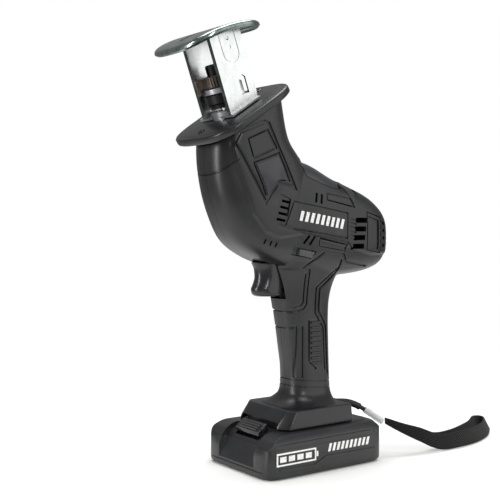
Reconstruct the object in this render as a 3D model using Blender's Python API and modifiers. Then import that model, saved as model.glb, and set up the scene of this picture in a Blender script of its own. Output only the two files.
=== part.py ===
"""Cordless reciprocating saw: housing halves, gear train, plunger, blade clamp, shoe,
trigger group, slide-on battery pack and wrist strap.

Metres, +Z up. The saw stands on its battery with the nose and trigger towards -X, so the
user's left side is -Y. The origin is the centre of the battery's flat bottom.
"""

import math

import bmesh
import bpy
from mathutils import Matrix, Vector

MM = 0.001
GAP = 0.3

# Driving dimensions, in millimetres
WALL = 2.5
CRANK_CENTRE = (-42.3, 0.0, 217.0)
NOSE_TILT = 19.5
MOTOR_TILT = 11.0
CRANK_RADIUS = 7.5
REST_OFFSET = -5.5
CROWN_TEETH = 44
PINION_TEETH = 8
GUARD_CENTRE = (-66.4, 0.0, 293.2)
GUARD_TILT = 33.3
GUARD_HALF = (44.0, 43.0)
NECK_DEPTH = 16.0
BRACKET_FRONT = -11.4
BRACKET_REAR = 18.7
BRACKET_HALF_WIDTH = 20.5
SHEET = 1.8
SHOE_RADIUS = 68.0
SHOE_TOP = 149.0
SHOE_HALF_LENGTH = 35.5
SHOE_HALF_WIDTH = 37.0
SHOE_RIM = 3.2
BATTERY_FRONT = -61.0
BATTERY_REAR = 59.0
BATTERY_HALF_WIDTH = 45.0
BATTERY_TOP = 34.6
BATTERY_SPLIT = 24.0
FOOT_BOTTOM = 35.0
CELL_RADIUS = 9.1
CELL_LENGTH = 65.0
CELL_PITCH = 18.6
WEBBING_THICK = 1.5

# Housing sections. Nose and grip: height, front, rear, half width. Motor: X, top, bottom, half width.
NOSE_SECTIONS = [
    (169.0, -34.0, -6.0, 17.0), (174.0, -47.0, -4.0, 21.0), (182.0, -61.2, -1.0, 24.7),
    (191.0, -71.0, 1.0, 26.5), (204.0, -78.5, 3.0, 27.5), (222.0, -85.5, 4.0, 28.0),
    (240.0, -89.0, 2.0, 28.0), (256.0, -90.0, -6.5, 28.0), (274.0, -89.0, -19.5, 27.5),
    (312.0, -86.0, -28.0, 27.0),
]
MOTOR_SECTIONS = [
    (-24.0, 258.0, 166.0, 25.0), (0.0, 253.4, 160.0, 28.0), (22.0, 243.6, 157.5, 28.5),
    (45.0, 235.6, 158.0, 28.0), (64.0, 228.2, 160.0, 27.0), (77.0, 220.5, 163.0, 25.5),
    (84.0, 213.5, 167.0, 23.0), (87.2, 206.5, 173.0, 19.0),
]
GRIP_SECTIONS = [
    (49.0, -27.0, 33.6, 32.0), (52.0, -19.5, 33.4, 26.0), (56.0, -14.0, 33.0, 20.5),
    (62.0, -10.6, 32.4, 17.6), (80.0, -10.6, 31.8, 16.6), (104.0, -14.0, 31.2, 16.5),
    (122.0, -17.0, 31.0, 16.6), (138.0, -20.0, 32.0, 17.2), (152.0, -23.0, 36.0, 19.0),
    (166.0, -28.0, 44.0, 22.0), (178.0, -32.0, 50.0, 24.0),
]
FOOT_SECTIONS = [
    (FOOT_BOTTOM, -38.6, 34.0, 35.0), (38.0, -38.0, 34.0, 35.0), (50.0, -28.5, 34.0, 33.0),
]
HOUSING_SCREWS = [
    (-79.0, 247.0), (-28.0, 277.0), (-60.5, 188.5), (76.3, 207.3), (69.2, 171.3), (27.5, 151.0), (11.0, 68.0),
]

PARTS = None
CUTTERS = None
FRAMES = {}


def start():
    """Empty the scene, then make a collection for the saw, one for its cutters, and its axes."""
    global PARTS, CUTTERS
    for item in list(bpy.data.objects):
        bpy.data.objects.remove(item)
    PARTS = bpy.data.collections.new("reciprocating_saw")
    CUTTERS = bpy.data.collections.new("cutters")
    for group in (PARTS, CUTTERS):
        bpy.context.scene.collection.children.link(group)
    frame("nose", CRANK_CENTRE, (0.0, -NOSE_TILT, 0.0))
    frame("motor", CRANK_CENTRE, (0.0, 90.0 + MOTOR_TILT, 0.0))
    frame("crank", CRANK_CENTRE, (-90.0, 0.0, 0.0))
    frame("guard", GUARD_CENTRE, (0.0, -GUARD_TILT, 0.0))


def frame(name, place, turn):
    """An empty turned by the given degrees: its Z axis is the axis of what hangs on it."""
    empty = bpy.data.objects.new(name + "_frame", None)
    empty.location = Vector(place) * MM
    empty.rotation_euler = [math.radians(angle) for angle in turn]
    PARTS.objects.link(empty)
    FRAMES[name] = empty


def material(name, colour, roughness, metallic=0.0, alpha=1.0):
    found = bpy.data.materials.get(name)
    if found:
        return found
    made = bpy.data.materials.new(name)
    made.use_nodes = True
    shader = made.node_tree.nodes["Principled BSDF"]
    shader.inputs["Base Color"].default_value = (*colour, 1.0)
    shader.inputs["Roughness"].default_value = roughness
    shader.inputs["Metallic"].default_value = metallic
    shader.inputs["Alpha"].default_value = alpha
    return made


def moulded_black():
    return material("moulded_nylon", (0.035, 0.036, 0.038), 0.5)


def smooth_black():
    return material("smooth_nylon", (0.04, 0.041, 0.044), 0.33)


def zinc():
    return material("zinc_plated_steel", (0.72, 0.74, 0.72), 0.28, 1.0)


def steel():
    return material("bright_steel", (0.6, 0.6, 0.62), 0.32, 1.0)


def black_steel():
    return material("black_oxide_steel", (0.05, 0.048, 0.046), 0.42, 1.0)


def aluminium():
    return material("cast_aluminium", (0.62, 0.63, 0.65), 0.5, 1.0)


def bronze():
    return material("sintered_bronze", (0.55, 0.37, 0.17), 0.45, 1.0)


def webbing():
    return material("nylon_webbing", (0.025, 0.025, 0.026), 0.85)


def add(name, mesh, paint=None, parent=None, cutter=False):
    """Put a mesh in the scene as a part, or as a wire-drawn cutter."""
    item = bpy.data.objects.new(name, mesh)
    (CUTTERS if cutter else PARTS).objects.link(item)
    if parent:
        item.parent = FRAMES[parent]
    if cutter:
        item.hide_render = True
        item.display_type = "WIRE"
    if paint:
        mesh.materials.append(paint)
    return item


def from_bmesh(name, shape, smooth=False):
    bmesh.ops.recalc_face_normals(shape, faces=shape.faces)
    mesh = bpy.data.meshes.new(name)
    shape.to_mesh(mesh)
    shape.free()
    if smooth:
        mesh.shade_smooth()
        mesh.set_sharp_from_angle(angle=math.radians(35))
    return mesh


def box_mesh(name, low, high):
    shape = bmesh.new()
    low = Vector(low)
    high = Vector(high)
    size = Matrix.Diagonal((*(high - low) * MM, 1.0))
    bmesh.ops.create_cube(shape, size=1.0, matrix=Matrix.Translation((low + high) * MM / 2) @ size)
    return from_bmesh(name, shape)


def box(name, low, high, paint=None, parent=None, cutter=False, bevel=0.0):
    item = add(name, box_mesh(name, low, high), paint, parent, cutter)
    if bevel:
        round_edges(item, bevel)
    return item


def rod(name, radius, low, high, paint=None, parent=None, cutter=False, axis="Z", at=(0.0, 0.0), sides=20):
    """A cylinder from low to high along one axis of its frame; at is its place across that axis."""
    shape = bmesh.new()
    bmesh.ops.create_cone(shape, cap_ends=True, segments=sides, radius1=radius * MM,
                          radius2=radius * MM, depth=(high - low) * MM)
    middle = (low + high) / 2
    turn = {"Y": Matrix.Rotation(math.pi / 2, 4, "X"), "Z": Matrix()}[axis]
    place = {"Y": (at[0], middle, at[1]), "Z": (at[0], at[1], middle)}[axis]
    bmesh.ops.transform(shape, matrix=Matrix.Translation(Vector(place) * MM) @ turn, verts=shape.verts)
    return add(name, from_bmesh(name, shape, smooth=True), paint, parent, cutter)


def turned(name, profile, paint, parent, steps=24, cutter=False):
    """A solid of revolution about its frame's Z: (radius, height) points, down the outer side."""
    mesh = bpy.data.meshes.new(name)
    points = [(r * MM, 0.0, h * MM) for r, h in profile]
    closed = profile[0][0] > 0.0
    edges = [(i, i + 1) for i in range(len(points) - 1)]
    if closed:
        edges.append((len(points) - 1, 0))
    mesh.from_pydata(points, edges, [])
    item = add(name, mesh, paint, parent, cutter)
    spin = item.modifiers.new("turn", "SCREW")
    spin.steps = steps
    spin.render_steps = steps
    spin.use_merge_vertices = True
    spin.merge_threshold = 0.00001
    spin.use_smooth_shade = True
    return item


def plate(name, outline, low, high, paint=None, parent=None, cutter=False, bevel=0.0):
    """A flat outline of (x, z) points in its frame, with its thickness from low to high along Y."""
    shape = bmesh.new()
    ends = [[shape.verts.new((x * MM, y * MM, z * MM)) for x, z in outline] for y in (low, high)]
    shape.faces.new(ends[0])
    shape.faces.new(ends[1])
    count = len(outline)
    for i in range(count):
        j = (i + 1) % count
        shape.faces.new((ends[0][i], ends[0][j], ends[1][j], ends[1][i]))
    item = add(name, from_bmesh(name, shape), paint, parent, cutter)
    if bevel:
        round_edges(item, bevel)
    return item


def round_edges(item, width, segments=1):
    bevel = item.modifiers.new("rounded", "BEVEL")
    bevel.width = width * MM
    bevel.segments = segments
    bevel.limit_method = "ANGLE"
    bevel.angle_limit = math.radians(40)


def superellipse(half_a, half_b, power, count):
    """Points of a rounded outline, from a circle at power 2 towards a box at higher powers."""
    points = []
    for i in range(count):
        turn = 2 * math.pi * (i + 0.5) / count
        c = math.cos(turn)
        s = math.sin(turn)
        points.append((half_a * math.copysign(abs(c) ** (2 / power), c),
                       half_b * math.copysign(abs(s) ** (2 / power), s)))
    return points


def loft(name, rings, paint=None, parent=None, cutter=False):
    """Join rings of points, in millimetres, one after another into a closed solid."""
    shape = bmesh.new()
    loops = [[shape.verts.new(Vector(p) * MM) for p in ring] for ring in rings]
    count = len(loops[0])
    for one, two in zip(loops, loops[1:]):
        for i in range(count):
            j = (i + 1) % count
            shape.faces.new((one[i], one[j], two[j], two[i]))
    shape.faces.new(loops[0])
    shape.faces.new(loops[-1])
    return add(name, from_bmesh(name, shape, smooth=True), paint, parent, cutter)


def standing_rings(sections, inset, power, count=24):
    """Horizontal rings of a loft that rises along Z."""
    rings = []
    for height, front, rear, half_width in sections:
        middle = (front + rear) / 2
        outline = superellipse((rear - front) / 2 - inset, half_width - inset, power, count)
        rings.append([(middle + a, b, height) for a, b in outline])
    return rings


def lying_rings(sections, inset, power, count=24):
    """Upright rings of a loft that runs along X; the far end is closed by the wall."""
    rings = []
    for k, (along, top, bottom, half_width) in enumerate(sections):
        middle = (top + bottom) / 2
        back = inset if k == len(sections) - 1 else 0.0
        outline = superellipse((top - bottom) / 2 - inset, half_width - inset, power, count)
        rings.append([(along - back, b, middle + a) for a, b in outline])
    return rings


def combine(item, tool, operation="DIFFERENCE"):
    step = item.modifiers.new(operation.lower(), "BOOLEAN")
    step.object = tool
    step.operation = operation
    step.solver = "EXACT"


def housing_body(name, inset, paint=None, cutter=True):
    """The whole housing as one solid, its walls moved in by inset and its foot open below."""
    nose = [list(row) for row in NOSE_SECTIONS]
    nose[0][0] += inset
    grip = [list(row) for row in GRIP_SECTIONS]
    grip[0][0] -= 2 * inset
    foot = [list(row) for row in FOOT_SECTIONS]
    foot[0][0] -= 2 * inset
    foot[-1][0] -= inset
    body = loft(name, standing_rings(nose, inset, 3.0), paint, None, cutter)
    others = [
        loft(name + "_motor", lying_rings(MOTOR_SECTIONS, inset, 3.2), None, None, True),
        loft(name + "_grip", standing_rings(grip, inset, 2.7), None, None, True),
        loft(name + "_foot", standing_rings(foot, inset, 9.0), None, None, True),
    ]
    for other in others:
        combine(body, other, "UNION")
    return body


def housing_cutters():
    """Everything that is cut out of both housing halves."""
    tools = [
        housing_body("cavity", WALL),
        box("nose_cut", (-80, -60, -NECK_DEPTH - GAP), (80, 60, 60), None, "guard", True),
        box("trigger_cut", (-70, -10.8, 139.6), (-10, 10.8, 171.4), None, None, True),
        box("battery_cut", (-60, -25.4, 20), (31, 25.4, 40.7), None, None, True),
        box("lock_cut", (-18.6, -60, 172.1), (3.3, 60, 180.6), None, None, True),
    ]
    for k in range(4):
        top = 207.4 - 7.4 * k
        tools.append(box(f"rear_vent_{k}", (43.0 - k, -60, top - 4.4), (56.0 - k, 60, top), None, None, True))
    return tools


def housing_half(name, side, tools, limit):
    """One moulded half: its wall, battery rail, screw posts and, on the right, the screw recesses."""
    half = housing_body(name, 0.0, moulded_black(), False)
    for tool in tools:
        combine(half, tool)
    inner, outer = sorted((side * 0.15, side * 80.0))
    combine(half, box(name + "_side", (-150, inner, 0), (150, outer, 350), None, None, True), "INTERSECT")
    inner, outer = sorted((side * 22.4, side * 33.6))
    rail = box(name + "_rail", (-29, inner, FOOT_BOTTOM + 0.05), (32, outer, 37.1), None, None, True)
    combine(half, rail, "UNION")
    for k, (x, z) in enumerate(HOUSING_SCREWS):
        low, high = sorted((side * 0.15, side * 40.0))
        post = rod(f"{name}_post_{k}", 4.4, low, high, None, None, True, "Y", (x, z), 10)
        combine(post, limit, "INTERSECT")
        combine(half, post, "UNION")
    for k, (x, z) in enumerate(HOUSING_SCREWS):
        low, high = (-1.0, 12.0) if side > 0 else (-9.4, 1.0)
        combine(half, rod(f"{name}_hole_{k}", 1.8, low, high, None, None, True, "Y", (x, z), 10))
        if side > 0:
            combine(half, rod(f"{name}_recess_{k}", 3.2, 8.0, 60.0, None, None, True, "Y", (x, z), 12))


def housing():
    tools = housing_cutters()
    limit = housing_body("post_limit", 1.0)
    housing_half("left_housing_shell", -1, tools, limit)
    housing_half("right_housing_shell", 1, tools, limit)
    for k, (x, z) in enumerate(HOUSING_SCREWS):
        name = f"housing_screw_{k + 1}"
        screw = rod(name, 1.5, -9.0, 9.5, steel(), None, False, "Y", (x, z), 10)
        combine(screw, rod(name + "_head", 2.9, 8.3, 10.6, None, None, True, "Y", (x, z), 12), "UNION")


def guard_rings(levels):
    """Rings of the guard in its own frame: (height, half length, half width, power)."""
    return [[(a, b, level) for a, b in superellipse(half_a, half_b, power, 28)]
            for level, half_a, half_b, power in levels]


def guard():
    """The round hand guard with its hollow neck, which caps the nose of the housing."""
    half_a, half_b = GUARD_HALF
    levels = [(-NECK_DEPTH, 35.0, 27.6, 2.8), (-9.5, 36.0, 28.8, 2.8)]
    for height, inset, power in ((-7.3, 2.5, 3.2), (-5.8, 0.4, 3.25), (-1.6, 0.0, 3.25), (0.0, 1.4, 3.25)):
        levels.append((height, half_a - inset, half_b - inset, power))
    body = loft("nose_guard", guard_rings(levels), moulded_black(), "guard")
    hollow = guard_rings([(-NECK_DEPTH - 4, 32.0, 24.6, 2.8), (-3.0, 32.0, 24.6, 2.8)])
    combine(body, loft("guard_hollow", hollow, None, "guard", True))
    combine(body, rod("guard_bore", 13.1, 40, 110, None, "nose", True, sides=24))
    for k, (x, y) in enumerate(((-33.0, 0.0), (34.0, 0.0))):
        name = f"guard_screw_{k + 1}"
        combine(body, rod(name + "_hole", 1.8, -8.4, 6, None, "guard", True, at=(x, y), sides=10))
        combine(body, rod(name + "_sink", 3.2, -1.4, 6, None, "guard", True, at=(x, y), sides=12))
        screw = rod(name, 1.5, -8, -0.5, steel(), "guard", at=(x, y), sides=10)
        combine(screw, rod(name + "_head", 2.8, -1.1, 0.6, None, "guard", True, at=(x, y), sides=12), "UNION")


def guard_level(x):
    """Height along the plunger's axis of the guard's top face, at x across that axis."""
    tilt = math.radians(GUARD_TILT - NOSE_TILT)
    run = GUARD_CENTRE[0] - CRANK_CENTRE[0]
    rise = GUARD_CENTRE[2] - CRANK_CENTRE[2]
    nose = math.radians(NOSE_TILT)
    across = run * math.cos(nose) + rise * math.sin(nose)
    along = rise * math.cos(nose) - run * math.sin(nose)
    return along + (x - across) * math.tan(tilt)


def shoe_level(x, radius):
    """Height along the plunger's axis of the bowed shoe, at x across that axis."""
    return SHOE_TOP - SHOE_RADIUS + math.sqrt(radius ** 2 - x ** 2)


def bracket():
    """The pressed U bracket: a base strip on the guard and two side walls up to the shoe."""
    body = box("shoe_bracket", (-14.5, -24.0, 0.9), (16.5, 24.0, 0.9 + SHEET), zinc(), "guard")
    span = BRACKET_REAR - BRACKET_FRONT
    under = SHOE_RADIUS - SHEET - 0.7
    outline = [(x, guard_level(x) + 1.6) for x in (BRACKET_FRONT, BRACKET_REAR)]
    for k in range(7):
        x = BRACKET_REAR - span * k / 6
        outline.append((x, shoe_level(x, under)))
    for side in (-1, 1):
        low, high = sorted((side * BRACKET_HALF_WIDTH, side * (BRACKET_HALF_WIDTH - SHEET)))
        wall = plate(f"bracket_wall_{side}", outline, low, high, None, "nose", True)
        combine(body, wall, "UNION")
    combine(body, rod("bracket_bore", 13.1, 60, 95, None, "nose", True, sides=24))
    window = box("bracket_window", (4.0, -30, 91.0), (11.5, 30, 106.0), None, "nose", True, bevel=1.2)
    combine(body, window)


def shoe():
    """The bowed shoe plate with its turned-down rim and the slot that the blade runs in."""
    rings = []
    upper = [(0.06, 0.0), (0.35, 0.0), (0.65, 0.0), (0.9, 0.0), (0.985, 0.7), (1.0, SHOE_RIM)]
    for scale, drop, trim in [(*row, 0.0) for row in upper] + [(*row, SHEET) for row in reversed(upper)]:
        edge = trim if scale > 0.95 else 0.0
        outline = superellipse(SHOE_HALF_LENGTH * scale - edge, SHOE_HALF_WIDTH * scale - edge, 4.5, 28)
        rings.append([(a, b, shoe_level(a, SHOE_RADIUS - trim) - drop) for a, b in outline])
    body = loft("shoe_plate", rings, zinc(), "nose")
    combine(body, box("blade_slot", (-24, -3.5, 130), (8, 3.5, 160), None, "nose", True))


def gear_outline(teeth, root, tip, turn, width):
    """A toothed outline: width is the part of each pitch that the tooth's tip takes."""
    points = []
    pitch = 2 * math.pi / teeth
    for k in range(teeth):
        middle = math.radians(turn) + k * pitch
        for offset, radius in ((-0.55 * width - 0.09, root), (-width / 2, tip), (width / 2, tip),
                               (0.55 * width + 0.09, root)):
            angle = middle + offset * pitch
            points.append((radius * math.cos(angle), radius * math.sin(angle)))
    return points


def prism(name, outline, low, high, paint, parent):
    """A flat outline of (x, y) points in its frame, with its thickness along Z."""
    return loft(name, [[(a, b, level) for a, b in outline] for level in (low, high)], paint, parent)


def crown_ring(name, inner, outer, root, tip, back):
    """The toothed ring of the crown gear: teeth stand out of its face towards the pinion."""
    rings = []
    pitch = 2 * math.pi / CROWN_TEETH
    for k in range(CROWN_TEETH):
        middle = math.radians(MOTOR_TILT) + (k + 0.5) * pitch
        for offset, level in ((-0.27, root), (-0.16, tip), (0.16, tip), (0.27, root)):
            angle = middle + offset * pitch
            corners = ((inner, level), (outer, level), (outer, back), (inner, back))
            rings.append([(r * math.cos(angle), r * math.sin(angle), height) for r, height in corners])
    shape = bmesh.new()
    loops = [[shape.verts.new(Vector(p) * MM) for p in ring] for ring in rings]
    for one, two in zip(loops, loops[1:] + loops[:1]):
        for i in range(4):
            j = (i + 1) % 4
            shape.faces.new((one[i], one[j], two[j], two[i]))
    return add(name, from_bmesh(name, shape), steel(), "crank")


def gear_train():
    """Crown gear and crank pin, driven by the pinion; the pin works the plunger's cross slot."""
    gear = crown_ring("crank_gear", 20.3, 23.7, 5.0, 3.7, 9.5)
    profile = [(0.0, 18.5), (4.0, 18.5), (4.0, 14.0), (7.0, 14.0), (7.0, 9.0), (21.5, 9.0),
               (21.5, 6.0), (0.0, 6.0)]
    combine(gear, turned("crank_web", profile, None, "crank", 32, cutter=True), "UNION")
    nose = math.radians(NOSE_TILT)
    across = math.sqrt(CRANK_RADIUS ** 2 - REST_OFFSET ** 2)
    pin = (across * math.cos(nose) - REST_OFFSET * math.sin(nose),
           -across * math.sin(nose) - REST_OFFSET * math.cos(nose))
    combine(gear, rod("pin_hole", 2.8, 0, 8.6, None, "crank", True, at=pin, sides=14))
    rod("crank_pin", 2.5, 3.35, 8.3, steel(), "crank", at=pin, sides=14)
    turned("crank_bearing", [(8.0, 18.7), (8.0, 14.6), (4.3, 14.6), (4.3, 18.7)], steel(), "crank", 24)
    teeth = gear_outline(PINION_TEETH, 3.2, 4.6, 90.0, 0.26)
    pinion = prism("motor_pinion", teeth, 19.5, 27.0, steel(), "motor")
    combine(pinion, rod("pinion_bore", 1.9, 10, 40, None, "motor", True, sides=12))


def gear_frame():
    """The cast frame that carries the crank bearing and both guides of the plunger."""
    body = box("gear_frame", (-17, -19.5, 40), (23, 19.5, 63), aluminium(), "nose")
    outline = [(-16.9, 62.9), (22.9, 62.9), (22.9, 40), (22, 20), (22, -14), (13, -36.1), (-13, -36.1),
               (-24, -14), (-24, 20), (-16.9, 40)]
    combine(body, plate("frame_side", outline, 14.5, 18.9, None, "nose", True), "UNION")
    combine(body, box("frame_tail", (-12.9, -10, -36), (12.9, 18.7, -28), None, "nose", True), "UNION")
    combine(body, rod("bushing_seat", 9.3, 30, 80, None, "nose", True, sides=24))
    combine(body, rod("bearing_seat", 8.3, 10, 25, None, "crank", True, sides=24))
    combine(body, box("guide_seat", (-9.3, -7.3, -50), (9.3, 7.3, -20), None, "nose", True))
    turned("front_bushing", [(9.0, 62.0), (9.0, 41.0), (5.3, 41.0), (5.3, 62.0)], bronze(), "nose")
    guide = box("rear_guide", (-9, -7, -35.5), (9, 7, -28.5), bronze(), "nose")
    combine(guide, box("guide_slot", (-5.3, -3.3, -60), (5.3, 3.3, 0), None, "nose", True))
    profile = [(12.3, 82.9), (12.8, 82.4), (12.8, 63.5), (5.4, 63.5), (5.4, 82.9)]
    turned("nose_ring", profile, aluminium(), "nose", 32)


def plunger():
    """The plunger: a round shaft above, a flat tail below, and the cross slot for the crank pin."""
    shaft = rod("plunger_shaft", 5.0, 27, 93.7, steel(), "nose", sides=20)
    low, high = REST_OFFSET - 7, REST_OFFSET + 7
    combine(shaft, box("shaft_tail", (-5, -3, -43), (5, 3, 27.6), None, "nose", True), "UNION")
    combine(shaft, box("yoke", (-13.4, -3, low), (13.4, 3, high), None, "nose", True), "UNION")
    combine(shaft, box("yoke_slot", (-10.4, -9, low + 4.1), (10.4, 9, high - 4.1), None, "nose", True))
    profile = [(0.0, 119.5), (6.7, 119.5), (7.7, 118.5), (7.7, 96.5), (14.0, 96.5), (14.5, 96.0),
               (14.5, 89.4), (12.4, 88.2), (12.4, 85.2), (5.5, 85.2), (5.5, 94.2), (0.0, 94.2)]
    body = turned("clamp_body", profile, black_steel(), "nose", 28)
    combine(body, box("blade_seat", (-9, -0.9, 101), (9, 0.9, 130), None, "nose", True))
    turned("clamp_ring", [(14.6, 101.5), (14.6, 96.8), (8.0, 96.8), (8.0, 101.5)], steel(), "nose", 28)
    profile = [(13.2, 111.0), (13.8, 110.4), (13.8, 102.4), (13.2, 101.8), (8.0, 101.8), (8.0, 111.0)]
    collar = turned("clamp_collar", profile, black_steel(), "nose", 28)
    for name, inner, outer, low in (("lever_root", 12.0, 17.0, 102.2), ("lever_tab", 15.1, 19.0, 97.5)):
        lever = box(name, (inner, -5, low), (outer, 5, 110.7), None, "nose", True)
        lever.rotation_euler[2] = math.radians(145.0)
        combine(collar, lever, "UNION")


def arc_outline(inner, outer, middle, half):
    """A thick arc about its frame's Z axis, by its middle and half angle in degrees."""
    angles = [math.radians(middle - half + 2 * half * k / 10) for k in range(11)]
    outside = [(outer * math.cos(a), outer * math.sin(a)) for a in angles]
    inside = [(inner * math.cos(a), inner * math.sin(a)) for a in reversed(angles)]
    return outside + inside


def motor():
    """The brushed motor, taken apart as its can, magnets, armature, end cap and brushes."""
    turned("motor_mount", [(22.0, 33.5), (22.0, 29.5), (7.0, 29.5), (7.0, 33.5)], aluminium(), "motor", 28)
    profile = [(19.5, 91.0), (19.5, 35.0), (18.5, 34.0), (5.0, 34.0), (5.0, 36.0), (17.9, 36.0), (17.9, 91.0)]
    turned("motor_can", profile, zinc(), "motor", 28)
    profile = [(0.0, 111.0), (1.6, 111.0), (1.6, 95.0), (5.2, 95.0), (5.2, 85.0), (3.0, 85.0), (3.0, 81.0),
               (13.9, 81.0), (13.9, 45.0), (1.6, 45.0), (1.6, 19.8), (0.0, 19.8)]
    turned("armature", profile, steel(), "motor", 20)
    profile = [(19.5, 98.0), (19.5, 91.3), (6.0, 91.3), (6.0, 96.0), (2.0, 96.0), (2.0, 98.0)]
    turned("motor_end_cap", profile, moulded_black(), "motor", 28)
    for name, side in (("left", -1), ("right", 1)):
        outline = arc_outline(14.7, 17.6, side * 90.0, 62.0)
        prism("magnet_" + name, outline, 43.0, 83.0, black_steel(), "motor")
        low, high = sorted((side * 5.5, side * 13.0))
        box("motor_brush_" + name, (-2.2, low, 86), (2.2, high, 90.6), black_steel(), "motor")
    fan = prism("cooling_fan", gear_outline(9, 6.5, 17.5, 0.0, 0.1), 100.0, 108.0, smooth_black(), "motor")
    combine(fan, rod("fan_bore", 1.9, 90, 120, None, "motor", True, sides=12))


def trigger_group():
    """The trigger on its stem, the switch it works, and the lock-off bar above it."""
    outline = [(-45.8, 170.6), (-43.0, 166.0), (-42.2, 160.0), (-43.4, 153.6), (-45.8, 148.2),
               (-45.0, 144.4), (-41.0, 142.2), (-20.0, 140.6), (-18.0, 158.0), (-20.0, 170.8)]
    lever = plate("trigger", outline, -10, 10, smooth_black(), bevel=1.5)
    combine(lever, box("trigger_stem", (-24, -4, 146.3), (-4, 4, 154.3), None, None, True), "UNION")
    body = box("switch_body", (-8, -11, 126), (20, 11, 158), smooth_black())
    combine(body, box("stem_hole", (-20, -4.4, 145.9), (9, 4.4, 154.7), None, None, True))
    turns = []
    for k in range(33):
        turn = k * math.pi / 4
        turns.append((2.6 + 5.4 * k / 32, 2.7 * math.cos(turn), 150.3 + 2.7 * math.sin(turn)))
    tube("trigger_spring", turns, 0.35, steel())
    box("lock_off_bar", (-18.3, -25.4, 172.4), (3.0, 22.0, 180.3), smooth_black(), bevel=0.6)
    box("control_board", (4, -0.8, 82), (22, 0.8, 118), material("circuit_board", (0.02, 0.2, 0.09), 0.5))


def tube(name, points, radius, paint):
    """A round wire or cord along points, in millimetres."""
    curve = bpy.data.curves.new(name, "CURVE")
    curve.dimensions = "3D"
    curve.bevel_depth = radius * MM
    curve.bevel_resolution = 2
    curve.use_fill_caps = True
    line = curve.splines.new("POLY")
    line.points.add(len(points) - 1)
    for place, point in zip(line.points, points):
        place.co = (*(Vector(point) * MM), 1.0)
    item = bpy.data.objects.new(name, curve)
    curve.materials.append(paint)
    PARTS.objects.link(item)
    return item


def plan_rings(levels, front, rear, half_width, power, count=32):
    """Horizontal rounded rings of a battery case: (height, inset)."""
    middle = (front + rear) / 2
    rings = []
    for level, inset in levels:
        outline = superellipse((rear - front) / 2 - inset, half_width - inset, power, count)
        rings.append([(middle + a, b, level) for a, b in outline])
    return rings


def battery():
    """The slide-on pack: two case halves, five cells, their link, and the release button."""
    size = (BATTERY_FRONT, BATTERY_REAR, BATTERY_HALF_WIDTH, 11.0)
    lower = loft("battery_lower_case", plan_rings([(0.0, 3.3), (3.3, 0.0), (BATTERY_SPLIT, 0.0)], *size),
                 smooth_black())
    hollow = plan_rings([(2.4, 3.6), (4.5, 2.3), (30.0, 2.3)], *size)
    combine(lower, loft("lower_hollow", hollow, None, None, True))
    levels = [(BATTERY_SPLIT + GAP, 0.0), (29.5, 0.2), (BATTERY_TOP, 5.0)]
    upper = loft("battery_upper_case", plan_rings(levels, *size), smooth_black())
    hollow = plan_rings([(10.0, 2.4), (29.0, 2.4), (32.0, 6.5)], -36.0, *size[1:])
    combine(upper, loft("upper_hollow", hollow, None, None, True))
    slope = [(-70, 24.9), (-58, 24.9), (-41, 34.4), (-41, 45), (-70, 45)]
    combine(upper, plate("front_slope", slope, -24, 24, None, None, True))
    combine(upper, box("tongue_neck", (-33, -22, 33), (28, 22, 37.6), None, None, True), "UNION")
    combine(upper, box("tongue_head", (-33, -25, 37.4), (28, 25, 40.2), None, None, True), "UNION")
    for side in (-8, 8):
        slot = box(f"terminal_slot_{side}", (-5, side - 1.2, 35.6), (40, side + 1.2, 50), None, None, True)
        combine(upper, slot)
    combine(upper, box("button_pocket", (-50, -13.3, 26.4), (-39.9, 13.3, 50), None, None, True))
    box("release_button", (-49.7, -13, 29.7), (-40.2, 13, 39.0), smooth_black(), bevel=1.0)
    wrap = material("cell_wrap", (0.05, 0.25, 0.32), 0.4)
    end = CELL_LENGTH / 2
    for k in range(5):
        at = (CELL_PITCH * (k - 2), 11.9)
        rod(f"battery_cell_{k + 1}", CELL_RADIUS, -end, end, wrap, None, False, "Y", at, 16)
    box("cell_link", (-44, 33.0, 8), (44, 33.4, 16), zinc())
    box("terminal_block", (12.0, -14, 41.2), (26, 14, 47.0), smooth_black())
    for name, side in (("left", -8), ("right", 8)):
        box("terminal_blade_" + name, (-4, side - 0.4, 36.2), (11.7, side + 0.4, 45), bronze())


def smooth(points, steps):
    """A Catmull-Rom curve through points, with steps pieces between each two."""
    line = [Vector(p) for p in points]
    line = [2 * line[0] - line[1]] + line + [2 * line[-1] - line[-2]]
    found = []
    for a, b, c, d in zip(line, line[1:], line[2:], line[3:]):
        for k in range(steps):
            t = k / steps
            second = 2 * a - 5 * b + 4 * c - d
            third = 3 * b - a - 3 * c + d
            found.append(0.5 * (2 * b + (c - a) * t + second * t ** 2 + third * t ** 3))
    found.append(line[-2])
    return found


CORD_ROUTE = [(39.9, -4.3, 46.0), (44.0, -7.3, 46.4), (50.0, -11.5, 46.0), (56.0, -15.5, 43.6),
              (62.0, -19.5, 39.8)]
SLEEVE_ROUTE = [(62.4, -19.8, 39.5), (67.0, -22.8, 35.8), (76.0, -28.3, 28.6)]
# The strap's middle run: X, Y, half the space between its layers, its width, and its lean in degrees
STRAP_RUN = [
    (78.0, -29.6, 1.3, 5.5, 0.0), (92.0, -37.5, 1.5, 9.0, 0.0), (108.0, -44.0, 2.2, 12.5, 0.0),
    (126.0, -47.5, 3.4, 14.0, 5.0), (150.0, -47.5, 5.0, 14.0, 8.0), (175.0, -42.0, 6.5, 14.0, 14.0),
    (198.0, -33.0, 6.5, 13.5, 22.0), (217.0, -21.0, 5.5, 13.0, 30.0),
]
STRAP_LIFT = [26.4, 17.5, 9.0, 1.2, 0.6, 0.6, 1.0, 2.0]


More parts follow.
